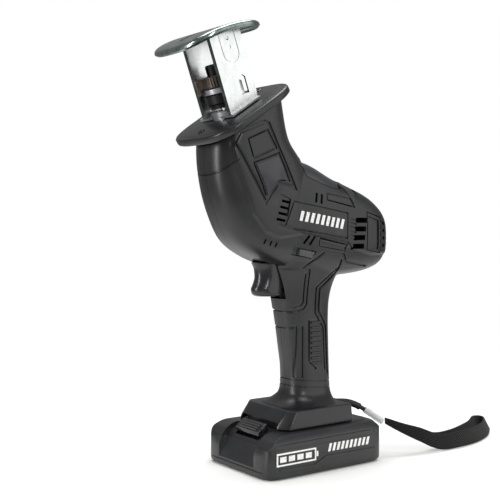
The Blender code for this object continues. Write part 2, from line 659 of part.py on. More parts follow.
def strap_layers():
    """Both long layers of the strap and its far bend, each point with its width and lean."""
    middle = smooth([(x, y, lift) for (x, y, _, _, _), lift in zip(STRAP_RUN, STRAP_LIFT)], 3)
    detail = smooth([row[2:] for row in STRAP_RUN], 3)
    one, two = [], []
    for k, (point, size) in enumerate(zip(middle, detail)):
        ahead = middle[min(k + 1, len(middle) - 1)] - middle[max(k - 1, 0)]
        across = Vector((-ahead.y, ahead.x, 0)).normalized()
        one.append((point - across * size.x, size.y, size.z))
        two.append((point + across * size.x, size.y, size.z))
    end = (one[-1][0] + two[-1][0]) / 2
    arm = one[-1][0] - end
    ahead = Vector((-arm.y, arm.x, 0))
    turns = (math.pi * k / 6 for k in range(1, 6))
    bend = [(end + arm * math.cos(a) + ahead * math.sin(a) * 1.4, *one[-1][1:]) for a in turns]
    return one + bend + two[::-1]


def strap():
    """The wrist strap: anchor on the foot, cord, clear sleeve and the webbing loop."""
    anchor = box("strap_anchor", (34.3, -9, 42), (38.7, 1, 50), smooth_black(), bevel=0.8)
    combine(anchor, rod("anchor_eye", 1.6, 30, 50, None, None, True, "Z", (36.5, -4.0), 12))
    tube("strap_cord", smooth(CORD_ROUTE, 3), 1.9, webbing())
    clear = material("clear_vinyl", (0.85, 0.86, 0.87), 0.15, 0.0, 0.4)
    tube("strap_sleeve", smooth(SLEEVE_ROUTE, 3), 3.0, clear)
    path = strap_layers()
    lean_way = Vector((0.3, -0.95, 0.0))
    rings = []
    for k, (point, width, lean) in enumerate(path):
        ahead = path[min(k + 1, len(path) - 1)][0] - path[max(k - 1, 0)][0]
        across = Vector((-ahead.y, ahead.x, 0)).normalized() * WEBBING_THICK / 2
        tilt = math.radians(lean)
        up = (Vector((0, 0, math.cos(tilt))) - lean_way * math.sin(tilt)) * width
        rings.append([point - across, point + across, point + across + up, point - across + up])
    loft("wrist_strap", rings, webbing())


start()
housing()
guard()
bracket()
shoe()
gear_train()
gear_frame()
plunger()
motor()
trigger_group()
battery()
strap()
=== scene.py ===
import math

import bmesh
import bpy
import numpy as np
from mathutils import Matrix, Vector


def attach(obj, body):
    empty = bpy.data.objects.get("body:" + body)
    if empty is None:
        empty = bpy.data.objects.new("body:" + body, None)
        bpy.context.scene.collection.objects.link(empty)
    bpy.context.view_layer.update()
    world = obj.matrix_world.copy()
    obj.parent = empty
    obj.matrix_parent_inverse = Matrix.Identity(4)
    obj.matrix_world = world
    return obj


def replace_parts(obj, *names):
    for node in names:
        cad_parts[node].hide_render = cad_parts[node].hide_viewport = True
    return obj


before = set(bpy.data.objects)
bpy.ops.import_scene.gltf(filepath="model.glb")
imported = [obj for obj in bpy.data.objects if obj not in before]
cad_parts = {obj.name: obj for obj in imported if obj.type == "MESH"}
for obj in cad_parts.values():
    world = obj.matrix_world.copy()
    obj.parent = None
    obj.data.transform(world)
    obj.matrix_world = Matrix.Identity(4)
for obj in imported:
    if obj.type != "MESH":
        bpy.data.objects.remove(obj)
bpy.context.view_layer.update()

# ---------------------------------------------------------------------------------------------
# Studio. A seamless pale floor that fades into a white surround, three soft boxes and a strip
# lamp, and the camera, a little above the table and to the left of the saw's nose.
# ---------------------------------------------------------------------------------------------
MM = 0.001
# The floor is solid out to the first of these distances, in metres, and gone at the second
FLOOR_CLEAR = 0.3
FLOOR_EDGE = 0.75
# Name, place and size in metres, and power in watts
LAMPS = [
    ("soft_box_left", (-1.0, 0.1, 0.4), 0.2, 0.9, 6.0),
    ("soft_box_front", (0.65, -0.95, 0.5), 1.2, 1.2, 4.9),
    ("strip_front", (-0.22, -1.15, 0.7), 0.07, 0.7, 4.2),
    ("soft_box_top", (0.1, 0.15, 1.4), 1.1, 0.9, 21.0),
]
LAMPS_AIM = Vector((0.0, 0.0, 0.2))


def linear(code):
    """A colour written as sRGB hex, as the linear RGBA that a shader takes."""
    parts = [int(code[k:k + 2], 16) / 255 for k in (1, 3, 5)]
    return (*[p / 12.92 if p <= 0.04045 else ((p + 0.055) / 1.055) ** 2.4 for p in parts], 1.0)


def add_node(tree, kind, inputs=None, **settings):
    """Add a node: inputs maps its sockets to values or to the sockets that feed them."""
    made = tree.nodes.new(kind)
    for name, value in settings.items():
        setattr(made, name, value)
    for name, value in (inputs or {}).items():
        if isinstance(value, bpy.types.NodeSocket):
            tree.links.new(value, made.inputs[name])
        else:
            made.inputs[name].default_value = value
    return made


def new_material(name, **shader_values):
    """A material with its Principled shader: returns the material, its tree and the shader."""
    made = bpy.data.materials.new(name)
    made.use_nodes = True
    shader = made.node_tree.nodes["Principled BSDF"]
    for key, value in shader_values.items():
        shader.inputs[key.replace("_", " ")].default_value = value
    return made, made.node_tree, shader


def ramp(tree, factor, low, high, start=0.0, end=1.0):
    """Map a factor from start..end to low..high, clamped."""
    spread = add_node(tree, "ShaderNodeMapRange", {"Value": factor, "From Min": start,
                                                   "From Max": end, "To Min": low, "To Max": high})
    return spread.outputs["Result"]


def floor_paint():
    """Matt white studio sweep: it thins out to nothing with distance, so no horizon shows."""
    made, tree, shader = new_material("studio_floor_matt_white", Base_Color=linear("#F4F4F2"),
                                      Roughness=0.7)
    place = add_node(tree, "ShaderNodeTexCoord").outputs["Object"]
    away = add_node(tree, "ShaderNodeVectorMath", {0: place}, operation="LENGTH").outputs["Value"]
    tree.links.new(ramp(tree, away, 1.0, 0.0, FLOOR_CLEAR, FLOOR_EDGE), shader.inputs["Alpha"])
    return made


bpy.ops.mesh.primitive_circle_add(vertices=96, radius=FLOOR_EDGE, fill_type="NGON",
                                  location=(0, 0, -0.0002))
floor = bpy.context.object
floor.name = "studio_floor"
floor.data.materials.append(floor_paint())

surround = bpy.data.worlds.new("white_surround")
surround.use_nodes = True
glow = surround.node_tree.nodes["Background"]
glow.inputs["Color"].default_value = (1.0, 1.0, 1.0, 1.0)
seen = add_node(surround.node_tree, "ShaderNodeLightPath").outputs["Is Camera Ray"]
surround.node_tree.links.new(ramp(surround.node_tree, seen, 0.3, 1.0), glow.inputs["Strength"])
bpy.context.scene.world = surround
bpy.context.scene.view_settings.view_transform = "Standard"

for name, place, width, height, power in LAMPS:
    lamp = bpy.data.lights.new(name, "AREA")
    lamp.shape = "RECTANGLE"
    lamp.size = width
    lamp.size_y = height
    lamp.energy = power
    stand = bpy.data.objects.new(name, lamp)
    stand.location = place
    stand.rotation_euler = (LAMPS_AIM - stand.location).to_track_quat("-Z", "Y").to_euler()
    bpy.context.scene.collection.objects.link(stand)

lens = bpy.data.cameras.new("camera")
lens.lens = 68.4
lens.sensor_width = 36.0
lens.clip_start = 0.01
camera = bpy.data.objects.new("camera", lens)
camera.location = (-0.49983, -0.63521, 0.208)
camera.rotation_euler = (math.radians(88.01), 0.0, math.radians(-35.5))
bpy.context.scene.collection.objects.link(camera)
bpy.context.scene.camera = camera

# ---------------------------------------------------------------------------------------------
# Housing. Two halves injection moulded in glass-filled nylon, split on the middle plane and
# screwed from the right. The moulds give each side a bowed cheek, sunk panels, fine grooves,
# cooling louvres and cross serrations on the motor's end.
# ---------------------------------------------------------------------------------------------
GUARD_CENTRE = Vector((-66.4, 0.0, 293.2))
GUARD_TILT = math.radians(33.3)
NECK_DEPTH = 10.4
WALL = 2.5
GROOVE = 1.1
HALF_GAP = 0.12
VOXEL = 0.9
# Rings of the form in mm: height, front, rear and half width of the nose and of the grip, and
# X, top, bottom and half width of the motor
NOSE_SECTIONS = [
    (169, -34, -6, 17), (174, -47, -4, 21), (182, -61.2, -1, 24.7), (191, -71, 1, 26.5),
    (204, -78.5, 3, 27.5), (222, -85.7, 4, 28), (240, -90, 2, 28), (256, -91.6, -6.5, 28),
    (274, -91, -19.5, 27.5), (312, -88, -28, 27),
]
MOTOR_SECTIONS = [
    (-24, 258, 166, 25), (0, 253.4, 160, 28), (22, 243.6, 157.5, 28.5), (45, 235.6, 158, 28),
    (64, 228.2, 160, 27), (76, 220.5, 163, 25.5), (82.2, 214, 166.5, 23.5), (85, 208.5, 171, 20.5),
]
GRIP_SECTIONS = [
    (49, -27, 33.6, 32), (52, -19.5, 33.4, 26), (56, -14, 33, 20.5), (62, -10.6, 32.4, 17.6),
    (80, -10.6, 31.8, 16.6), (104, -14, 31.2, 16.5), (122, -17, 31, 16.6), (138, -20, 32, 17.2),
    (152, -23, 36, 19), (166, -28, 44, 22), (178, -32, 50, 24),
]
# The seven screws' places, and the radii of their holes and of their heads' recesses
SCREWS = [(-79, 247), (-28, 277), (-60.5, 188.5), (76.3, 207.3), (69.2, 171.3), (27.5, 151), (11, 68)]
SCREW_HOLE, SCREW_RECESS = 1.8, 3.2


def blend_colours(tree, factor, one, two):
    """Mix two colours, from one at factor 0 to two at factor 1."""
    mix = add_node(tree, "ShaderNodeMix", {0: factor, 6: one, 7: two}, data_type="RGBA")
    return mix.outputs[2]


def moulded(name, colour, lift, roughness, grain=0.55, depth=0.25, flow=35.0):
    """Moulded nylon: spark-eroded grain, a faint mottle of the glass fill and light handling rub.

    grain is the space between the grain's pits in mm, drawn coarser than the real 0.2 mm so
    that it shows; flow is the size of the mottle in mm.
    """
    made, tree, shader = new_material(name, Specular_IOR_Level=0.48, IOR=1.53)
    place = add_node(tree, "ShaderNodeTexCoord").outputs["Object"]
    mottle = add_node(tree, "ShaderNodeTexNoise", {"Vector": place, "Scale": 1 / (flow * MM), "Detail": 6.0,
                                                   "Roughness": 0.65}).outputs["Fac"]
    fine = add_node(tree, "ShaderNodeTexNoise", {"Vector": place, "Scale": 1 / (grain * MM),
                                                 "Detail": 3.0}).outputs["Fac"]
    pits = add_node(tree, "ShaderNodeTexVoronoi", {"Vector": place, "Scale": 1 / (grain * 1.6 * MM)})
    drawn = add_node(tree, "ShaderNodeMapping", {"Vector": place, "Rotation": (0.4, 0.2, 0.9),
                                                 "Scale": (1.0, 14.0, 1.0)}).outputs[0]
    rub = add_node(tree, "ShaderNodeTexNoise", {"Vector": drawn, "Scale": 42.0, "Detail": 5.0})
    rubbed = ramp(tree, rub.outputs["Fac"], 0.0, 0.22, 0.6, 0.8)
    base = blend_colours(tree, ramp(tree, mottle, 0.0, 1.0, 0.35, 0.65), linear(colour), linear(lift))
    base = blend_colours(tree, rubbed, base, linear("#4A4B4D"))
    tree.links.new(base, shader.inputs["Base Color"])
    worn = add_node(tree, "ShaderNodeMath", {0: ramp(tree, mottle, -0.05, 0.05, 0.3, 0.7), 1: roughness})
    speck = add_node(tree, "ShaderNodeMath", {0: worn.outputs[0], 1: ramp(tree, fine, -0.06, 0.06)})
    tree.links.new(speck.outputs[0], shader.inputs["Roughness"])
    height = add_node(tree, "ShaderNodeMath", {0: fine, 1: pits.outputs["Distance"]}).outputs[0]
    bump = add_node(tree, "ShaderNodeBump", {"Height": height, "Strength": depth, "Distance": 0.1 * MM})
    tree.links.new(bump.outputs[0], shader.inputs["Normal"])
    return made


# Charcoal glass-filled nylon with a satin grain, which gives it broad dim highlights; and the
# polished inlays, in the same resin without the grain: they catch a brighter highlight, and their colour is
# lightened well above the housing's as a painted reflection of the soft boxes
nylon = moulded("moulded_nylon_satin_charcoal", "#101113", "#191A1C", 0.34)
inlay_nylon_painted_reflection = moulded("moulded_nylon_polished_inlay_painted_reflection", "#26272A", "#303134", 0.3, 0.8, 0.06)


def bent(rows, steps):
    """Rows of numbers with a smooth curve put through each column."""
    rows = np.array(rows, float)
    rows = np.vstack([2 * rows[0] - rows[1], rows, 2 * rows[-1] - rows[-2]])
    found = []
    for a, b, c, d in zip(rows, rows[1:], rows[2:], rows[3:]):
        for t in np.arange(steps) / steps:
            found.append(0.5 * (2 * b + (c - a) * t + (2 * a - 5 * b + 4 * c - d) * t ** 2
                                + (3 * b - a - 3 * c + d) * t ** 3))
    return found + [rows[-2]]


def superellipse(half_a, half_b, power, count):
    """A rounded outline, from an ellipse at power 2 towards a box at higher powers."""
    turn = 2 * np.pi * (np.arange(count) + 0.5) / count
    c, s = np.cos(turn), np.sin(turn)
    return zip(half_a * np.sign(c) * abs(c) ** (2 / power), half_b * np.sign(s) * abs(s) ** (2 / power))


def linked(name, mesh):
    """A new object of the scene from a mesh."""
    item = bpy.data.objects.new(name, mesh)
    bpy.context.scene.collection.objects.link(item)
    return item


def from_bmesh(name, shape):
    """An object from a bmesh, its faces turned outwards."""
    bmesh.ops.recalc_face_normals(shape, faces=shape.faces)
    mesh = bpy.data.meshes.new(name)
    shape.to_mesh(mesh)
    shape.free()
    return linked(name, mesh)


def loft(name, rings, closed=False, matrix=Matrix()):
    """Join rings of points in mm into a solid, capped at its ends or closed into a ring."""
    shape = bmesh.new()
    loops = [[shape.verts.new(matrix @ Vector(p) * MM) for p in ring] for ring in rings]
    count = len(loops[0])
    pairs = list(zip(loops, loops[1:])) + ([(loops[-1], loops[0])] if closed else [])
    for one, two in pairs:
        for i in range(count):
            j = (i + 1) % count
            shape.faces.new((one[i], one[j], two[j], two[i]))
    if not closed:
        shape.faces.new(loops[0])
        shape.faces.new(loops[-1])
    return from_bmesh(name, shape)


def block(name, low, high, matrix=Matrix()):
    """A box between two corners in mm."""
    ring = [(low[0], low[1]), (high[0], low[1]), (high[0], high[1]), (low[0], high[1])]
    return loft(name, [[(x, y, z) for x, y in ring] for z in (low[2], high[2])], matrix=matrix)


def prism(name, outline, low=-60.0, high=60.0, matrix=Matrix()):
    """A flat outline of (x, z) points with its thickness along Y."""
    return loft(name, [[(x, y, z) for x, z in outline] for y in (low, high)], matrix=matrix)


def post(name, radius, low, high, x, z, sides=24):
    """A round post along Y."""
    turns = [2 * math.pi * k / sides for k in range(sides)]
    return prism(name, [(x + radius * math.cos(t), z + radius * math.sin(t)) for t in turns], low, high)


def settle(item):
    """Apply every modifier of an object."""
    graph = bpy.context.evaluated_depsgraph_get()
    mesh = bpy.data.meshes.new_from_object(item.evaluated_get(graph))
    item.modifiers.clear()
    item.data = mesh
    return item


def carve(item, operation, *tools, keep=False):
    """Join item with tools, cut them out of it, or keep what they share."""
    for tool in tools:
        step = item.modifiers.new("carve", "BOOLEAN")
        step.operation = operation
        step.object = tool
        step.solver = "MANIFOLD"
    settle(item)
    if not keep:
        for tool in tools:
            bpy.data.objects.remove(tool)
    return item


def copied(name, item, offset=0.0):
    """A copy of an object with its surface moved out by offset mm."""
    mesh = item.data.copy()
    if offset:
        count = len(mesh.vertices)
        place = np.zeros(count * 3, np.float32)
        way = np.zeros(count * 3, np.float32)
        mesh.vertices.foreach_get("co", place)
        mesh.vertex_normals.foreach_get("vector", way)
        mesh.vertices.foreach_set("co", place + way * offset * MM)
    return linked(name, mesh)


def finished(item, paint, body="housing", sharp=35.0):
    """Shade, paint and hang a piece on its body."""
    item.data.materials.clear()
    item.data.materials.append(paint)
    item.data.shade_smooth()
    item.data.set_sharp_from_angle(angle=math.radians(sharp))
    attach(item, body)
    return item


def groove(name, points, width, closed=False, low=-60.0, high=60.0):
    """A cutter along a line of (x, z) points, mitred at its corners, right through the tool."""
    line = [Vector(p) for p in points]
    rings = []
    for k, here in enumerate(line):
        ways = []
        if k or closed:
            ways.append((here - line[k - 1]).normalized())
        if k < len(line) - 1 or closed:
            ways.append((line[(k + 1) % len(line)] - here).normalized())
        sides = [Vector((-way.y, way.x)) for way in ways]
        middle = sum(sides, Vector((0.0, 0.0))) / len(sides)
        push = middle * (width / 2 / middle.length_squared)
        one, two = here + push, here - push
        rings.append([(one.x, low, one.y), (one.x, high, one.y), (two.x, high, two.y), (two.x, low, two.y)])
    return loft(name, rings, closed)


def housing_rings(inset, steps, count):
    """The rings of the nose, motor and grip, with their walls moved in by inset mm."""
    nose, motor, grip = [], [], []
    for z, front, rear, half in bent(NOSE_SECTIONS, steps):
        outline = superellipse((rear - front) / 2 - inset, half - inset, 3.0, count)
        nose.append([((front + rear) / 2 + a, b, z) for a, b in outline])
    for x, top, bottom, half in bent(MOTOR_SECTIONS, steps):
        outline = superellipse((top - bottom) / 2 - inset, half - inset, 3.2, count)
        x = min(x, MOTOR_SECTIONS[-1][0] - inset)
        motor.append([(x, b, (top + bottom) / 2 + a) for a, b in outline])
    for z, front, rear, half in bent(GRIP_SECTIONS, steps):
        outline = superellipse((rear - front) / 2 - inset, half - inset, 2.7, count)
        grip.append([((front + rear) / 2 + a, b, z) for a, b in outline])
    return nose, motor, grip


def foot_block(name, inset, bottom=35.0):
    """The foot that the battery slides under: a low box with a raked front and cut corners.

    A level is its height, its front, its half width and the cut at its front corners.
    """
    levels = ((bottom, -38.6, 35.0, 7.0), (38.0, -38.0, 35.0, 7.0), (50.0 - inset, -28.5, 33.4, 5.5))
    rings = []
    for z, front, half, corner in levels:
        front, rear, half = front + inset, 36.6 - inset, half - inset
        side = [(rear, half - 2.0), (rear - 2.0, half), (front + corner, half), (front, half - corner * 1.3)]
        rings.append([(x, y, z) for x, y in side] + [(x, -y, z) for x, y in reversed(side)])
    item = loft(name, rings)
    if not inset:
        rounded(item, 1.3, 3)
    return item


def rounded(item, width, segments, angle=30.0):
    """Round the edges that turn by more than angle degrees."""
    edge = item.modifiers.new("rounded", "BEVEL")
    edge.width = width * MM
    edge.segments = segments
    edge.limit_method = "ANGLE"
    edge.angle_limit = math.radians(angle)
    return settle(item)


def outside(x, z, outline):
    """Distance in mm of points from an outline, below zero inside it."""
    points = np.array(outline, float)
    ends = np.roll(points, -1, 0)
    near = np.full(len(x), 1e9)
    inside = np.zeros(len(x), bool)
    for (ax, az), (bx, bz) in zip(points, ends):
        dx, dz = bx - ax, bz - az
        t = np.clip(((x - ax) * dx + (z - az) * dz) / (dx * dx + dz * dz), 0, 1)
        near = np.minimum(near, np.hypot(x - ax - t * dx, z - az - t * dz))
        crossed = (az > z) != (bz > z)
        if dz:
            inside ^= crossed & (x < ax + (z - az) * dx / dz)
    return np.where(inside, -near, near)


def relief(item, outline, height, soft, line=False):
    """Raise or sink the sides inside an outline, or along a line, with a soft step."""
    mesh = item.data
    count = len(mesh.vertices)
    place = np.zeros(count * 3, np.float32)
    way = np.zeros(count * 3, np.float32)
    mesh.vertices.foreach_get("co", place)
    mesh.vertex_normals.foreach_get("vector", way)
    place = place.reshape(-1, 3)
    way = way.reshape(-1, 3)
    away = outside(place[:, 0] / MM, place[:, 2] / MM, outline)
    step = np.clip((1.0 - abs(away) / soft) if line else (0.5 - away / soft), 0, 1)
    step = step * step * (3 - 2 * step)
    step *= np.clip(abs(way[:, 1]) * 2.2, 0, 1)
    place[:, 1] += np.sign(way[:, 1]) * step * height * MM
    mesh.vertices.foreach_set("co", place.ravel())
    mesh.update()


body_rings = housing_rings(0.0, 5, 72)
body = loft("housing_form", body_rings[0])
carve(body, "UNION", loft("motor_form", body_rings[1]), loft("grip_form", body_rings[2]))
remesh = body.modifiers.new("even", "REMESH")
remesh.mode = "VOXEL"
remesh.voxel_size = VOXEL * MM
smooth = body.modifiers.new("fillets", "SMOOTH")
smooth.factor = 0.5
smooth.iterations = 16
settle(body)

# The raised and sunk panels and the lines, drawn on the side as (x, z) in mm
CHEEK = [(-82, 300), (-80, 262), (-79, 253), (-69.5, 230), (-62, 210), (-50, 196), (-36, 191.5),
         (-4, 195), (4, 190), (36, 183), (64, 176), (90, 176), (90, 262), (0, 270), (-20, 320), (-60, 320)]
TRIGGER_SURROUND = [(-32, 165), (-6, 165), (0, 160), (0, 134), (-4, 130), (-32, 129)]
NOSE_PANEL = [(-80, 265.5), (-75.3, 274.4), (-53.4, 283), (-48.4, 282), (-21.4, 231.3), (-40.6, 235.1),
              (-51.7, 219.2)]
SQUARE = [(-68.4, 269.4), (-50.1, 277.1), (-41.5, 263.2), (-63.5, 254.1)]
LENS = [(-63.5, 250.8), (-38.9, 259.2), (-28.5, 237.4), (-40.6, 237.2), (-50.9, 223.2)]
LABEL = [(-23.7, 220.7), (33.5, 211.2), (33.3, 190), (-32.5, 200.5)]
STRIP = [(11.7, 227.6), (38.5, 223.4), (42, 216.4), (11.7, 222.2)]
LOW_PANEL = [(4.5, 190.4), (33.4, 184.6), (32.3, 179.4), (4.5, 183.6)]
REAR_PANEL = [(56.6, 212.4), (73.6, 207.6), (73.6, 177.0), (56.6, 179.6)]
GRIP_PANEL = [(4.6, 121.5), (16.4, 121.5), (16.4, 82.0), (11.5, 80.0), (4.6, 86.5)]
COLLAR_LINE = [(-120, 240.5), (-91, 240.9), (-74.3, 254.9)]
VENT_LINES = (206.4, 203.2, 199.9, 196.0, 192.8, 189.8)
BULGE = [(-46 + 9 * math.cos(t), 241 + 9 * math.sin(t)) for t in np.arange(16) * math.pi / 8]
# Each line's width and its run
LINES = [
    (1.6, [(-38, 201.5), (-27, 198.4), (4.5, 191.9), (34, 186.2), (41, 180)]),
    (1.7, [(-8, 165.5), (11.5, 179.4), (31.8, 176.6), (35.6, 170.4), (62, 165.4)]),
    (2.2, [(30, 172.3), (30, 160.4), (12.7, 147.7), (12.7, 128.1), (21.9, 115.7), (24.2, 74)]),
    (1.4, [(28.5, 165.5), (27.2, 162.2), (9.0, 149.2), (9.0, 126.8), (18.6, 114.2), (20.6, 78)]),
    (1.4, [(-4.4, 161), (-4.4, 137.2), (-6.4, 134.2), (-12, 132.8)]),
    (1.6, [(-30, 113.2), (-9, 116.3), (-8, 73)]),
    (2.0, [(-4.1, 116.5), (-3.2, 73)]),
    (2.0, [(2.4, 121), (2.5, 86), (10.5, 79.5)]),
    (1.6, [(-5.6, 164.8), (-0.6, 164), (-0.6, 135), (-3.6, 131.2), (-10.4, 129.5), (-30, 129.2)]),
]
relief(body, CHEEK, 1.5, 3.2)
relief(body, TRIGGER_SURROUND, 0.5, 1.6)
lines = [groove("line_collar", COLLAR_LINE, 1.5)]
for outline, width in ((NOSE_PANEL, 2.6), (LABEL, 1.3), (SQUARE, 1.8), (LENS, 1.7), (STRIP, 1.2),
                       (LOW_PANEL, 1.2), (REAR_PANEL, 1.0)):
    lines.append(groove("line_panel", outline, width, True))
for z in VENT_LINES:
    lines.append(groove("line_vent", [(36.5, z), (43.5, z - 1.4)], 1.3))
relief(body, NOSE_PANEL, -0.7, 2.6, line=True)
relief(body, LABEL, 0.35, 1.4)
for width, points in LINES:
    lines.append(groove("line", points, width))
    relief(body, points + points[-2:0:-1], -0.45, width / 2 + 1.0, line=True)
for outline in (SQUARE, LENS, STRIP, LOW_PANEL):
    relief(body, outline, -0.8, 2.0)
relief(body, BULGE, 2.8, 18.0)
relief(body, GRIP_PANEL, -0.7, 1.4)

# Pockets behind the lock-off bar, in the motor's top edge, and in the rear and louvre panels
pockets = [
    prism("pocket_lock", [(-21.6, 177.1), (-20.9, 181.9), (-19.5, 184), (-1.1, 180.4), (-4.5, 174.1)]),
    prism("top_notch", [(24.3, 233), (29.6, 231), (31.5, 250), (23.0, 250)]),
    prism("top_notch", [(45.5, 227.5), (49.5, 226.5), (51.5, 250), (44.5, 250)]),
    prism("pocket_rear", [(57.8, 209), (71.1, 205), (71.1, 179.8), (57.8, 182)]),
    prism("pocket_louvre", [(-37, 226.5), (-26.5, 222.5), (-31, 203), (-44, 205.5)]),
]
for k in range(8):
    low = 171.5 + 4.8 * k
    pockets.append(block("end_serration", (82.4, -60, low), (100, 60, low + 2.2)))
for k in range(4):
    low = 182.5 + 6.4 * k
    pockets.append(prism("rear_rib", [(72.6, low), (79, low - 0.8), (79, low + 2), (72.6, low + 2.8)]))
skin = copied("skin", body, -GROOVE)
outer = carve(copied("outer", body), "UNION", foot_block("foot_outer", 0.0))
inner = carve(skin, "UNION", foot_block("foot_inner", GROOVE))
raked = Matrix.Rotation(math.radians(5.5), 4, "Y")
for z in (70.2, 64.9):
    lines.append(block("line_ring", (-60, -60, z - 0.5), (60, 60, z + 0.5), raked))
carve(outer, "DIFFERENCE", *lines, *pockets)
carve(outer, "UNION", inner)

# The hollow inside, the posts that take the screws, and the openings through the wall
cavity_rings = housing_rings(WALL, 2, 40)
cavity = loft("cavity", cavity_rings[0])
carve(cavity, "UNION", loft("motor_cavity", cavity_rings[1]), loft("grip_cavity", cavity_rings[2]),
      foot_block("foot_cavity", WALL, 30.0))
carve(outer, "DIFFERENCE", cavity)

posts = [post("screw_post", 4.4, -40.0, 40.0, x, z) for x, z in SCREWS]
limit = copied("limit", body, -1.2)
for item in posts:
    carve(item, "INTERSECT", limit, keep=True)
bpy.data.objects.remove(limit)
carve(outer, "UNION", *posts)

guard_frame = Matrix.Translation(GUARD_CENTRE) @ Matrix.Rotation(-GUARD_TILT, 4, "Y")
cuts = [
    block("nose_cut", (-80, -60, -NECK_DEPTH), (80, 60, 60), guard_frame),
    block("trigger_cut", (-70, -10.8, 139.6), (-10, 10.8, 171.4)),
    block("battery_cut", (-60, -25.4, 20), (31, 25.4, 40.7)),
    prism("lock_cut", [(-15.2, 182.2), (2.6, 179.2), (-2.0, 173.3), (-15.8, 176.2)]),
]
for k in range(4):
    top = 207.4 - 7.4 * k
    cuts.append(prism("rear_vent", [(43 - k, top - 4.4), (56 - k, top - 4.4), (56 - k, top), (43 - k, top)]))
for x, z, lean, rise in ((0.5, 227.9, -1.3, 8), (5.7, 226.9, -1.0, 8),
                         (-5.6, 192.8, -5.4, 6.6), (-0.6, 191.9, -4.8, 6.9)):
    cuts.append(groove("slot", [(x, z), (x + lean, z - rise)], 2.1))
for x, z in ((-50.1, 188.4), (-44.5, 186.9), (-39.3, 185.5)):
    cuts.append(groove("small_slot", [(x + 0.8, z + 1.9), (x - 0.6, z - 1.9)], 1.5))
for k in range(4):
    rise = 4.9 * k
    cuts.append(groove("louvre", [(-40.5 + 1.7 * k, 206.5 + rise), (-31.6 + 1.4 * k, 204.9 + rise)], 2.1))
carve(outer, "DIFFERENCE", *cuts)
for x, z in SCREWS:
    carve(outer, "DIFFERENCE", post("screw_hole", SCREW_HOLE, -9.4, 12.0, x, z))
    carve(outer, "DIFFERENCE", post("screw_recess", SCREW_RECESS, 8.0, 60.0, x, z))
for name, low, high in (("left", -80.0, -HALF_GAP), ("right", HALF_GAP, 80.0)):
    half = copied(name + "_housing_form", outer)
    carve(half, "INTERSECT", block("side", (-150, low, 0), (150, high, 350)))
    finished(half, nylon)
    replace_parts(half, name + "_housing_shell")
bpy.data.objects.remove(outer)

# ---------------------------------------------------------------------------------------------
# Inlays and label. Polished nylon inlays are snapped into the nose's lower panel and the motor's
# top edge, close to flush with them, and a row of raked white bars is printed on the label panel.
# ---------------------------------------------------------------------------------------------
TOP_INLAY_FRONT = [(-15, 251.5), (-9.5, 248.5), (-7.5, 241.5), (7, 236), (20.5, 232.3), (25.5, 232.5),
                   (29, 237), (10, 247), (-10, 258)]
TOP_INLAY_REAR = [(30.5, 234.5), (35, 230), (42.3, 220), (44, 226), (47, 227.5), (40, 233), (33, 238)]


def on_skin(name, outlines, low, high, paint):
    """Thin pieces on both sides of the housing, from low to high mm off its skin."""
    for hand, near, far in (("left", -60.0, -6.0), ("right", 6.0, 60.0)):
        item = copied(f"{name}_{hand}", body, high)
        tools = [prism("patch", outline, near, far) for outline in outlines]
        if len(tools) > 1:
            carve(tools[0], "UNION", *tools[1:])
        carve(item, "INTERSECT", tools[0])
        carve(item, "DIFFERENCE", copied("under", body, low))
        finished(item, paint)


def shrunk(outline, keep):
    """An outline drawn in towards its middle."""
    middle = Vector((sum(x for x, _ in outline), sum(z for _, z in outline))) / len(outline)
    return [tuple(middle + (Vector(p) - middle) * keep) for p in outline]


def print_paint():
    """Pad-printed white ink: a thin matt film that lets a little of the dark grain through."""
    made, tree, shader = new_material("pad_printed_white_ink", Roughness=0.55)
    place = add_node(tree, "ShaderNodeTexCoord").outputs["Object"]
    worn = add_node(tree, "ShaderNodeTexNoise", {"Vector": place, "Scale": 900.0, "Detail": 4.0})
    cover = ramp(tree, worn.outputs["Fac"], 0.0, 1.0, 0.3, 0.45)
    ink = blend_colours(tree, cover, linear("#B9BABB"), linear("#F2F2F0"))
    tree.links.new(ink, shader.inputs["Base Color"])
    return made


# The inlays' lightened colour is a painted reflection, not a paler resin
on_skin("nose_lens", [shrunk(LENS, 0.86)], -0.4, 0.75, inlay_nylon_painted_reflection)
on_skin("top_inlay_front", [TOP_INLAY_FRONT], -0.6, 0.35, inlay_nylon_painted_reflection)
on_skin("top_inlay_rear", [TOP_INLAY_REAR], -0.6, 0.35, inlay_nylon_painted_reflection)
white_ink = print_paint()
bars = []
for k in range(9):
    x, z = -17.5 + 5.2 * k, 205.2 - 0.84 * k
    bars.append([(x, z), (x + 2.9, z - 0.47), (x + 5.1, z + 7.4), (x + 2.2, z + 7.9)])
on_skin("flank_print", bars, 0.2, 0.5, white_ink)

# ---------------------------------------------------------------------------------------------
# Grip ribs. Nine short round bars moulded across the sunk panel on each side of the grip, in the
# housing's nylon. One tree sets a bar on each of its places, found on the housing's skin.
# ---------------------------------------------------------------------------------------------
GRIP_RIBS = 9
RIB_PITCH = 4.3
RIB_FIRST = (10.4, 84.6)  # X and height of the lowest


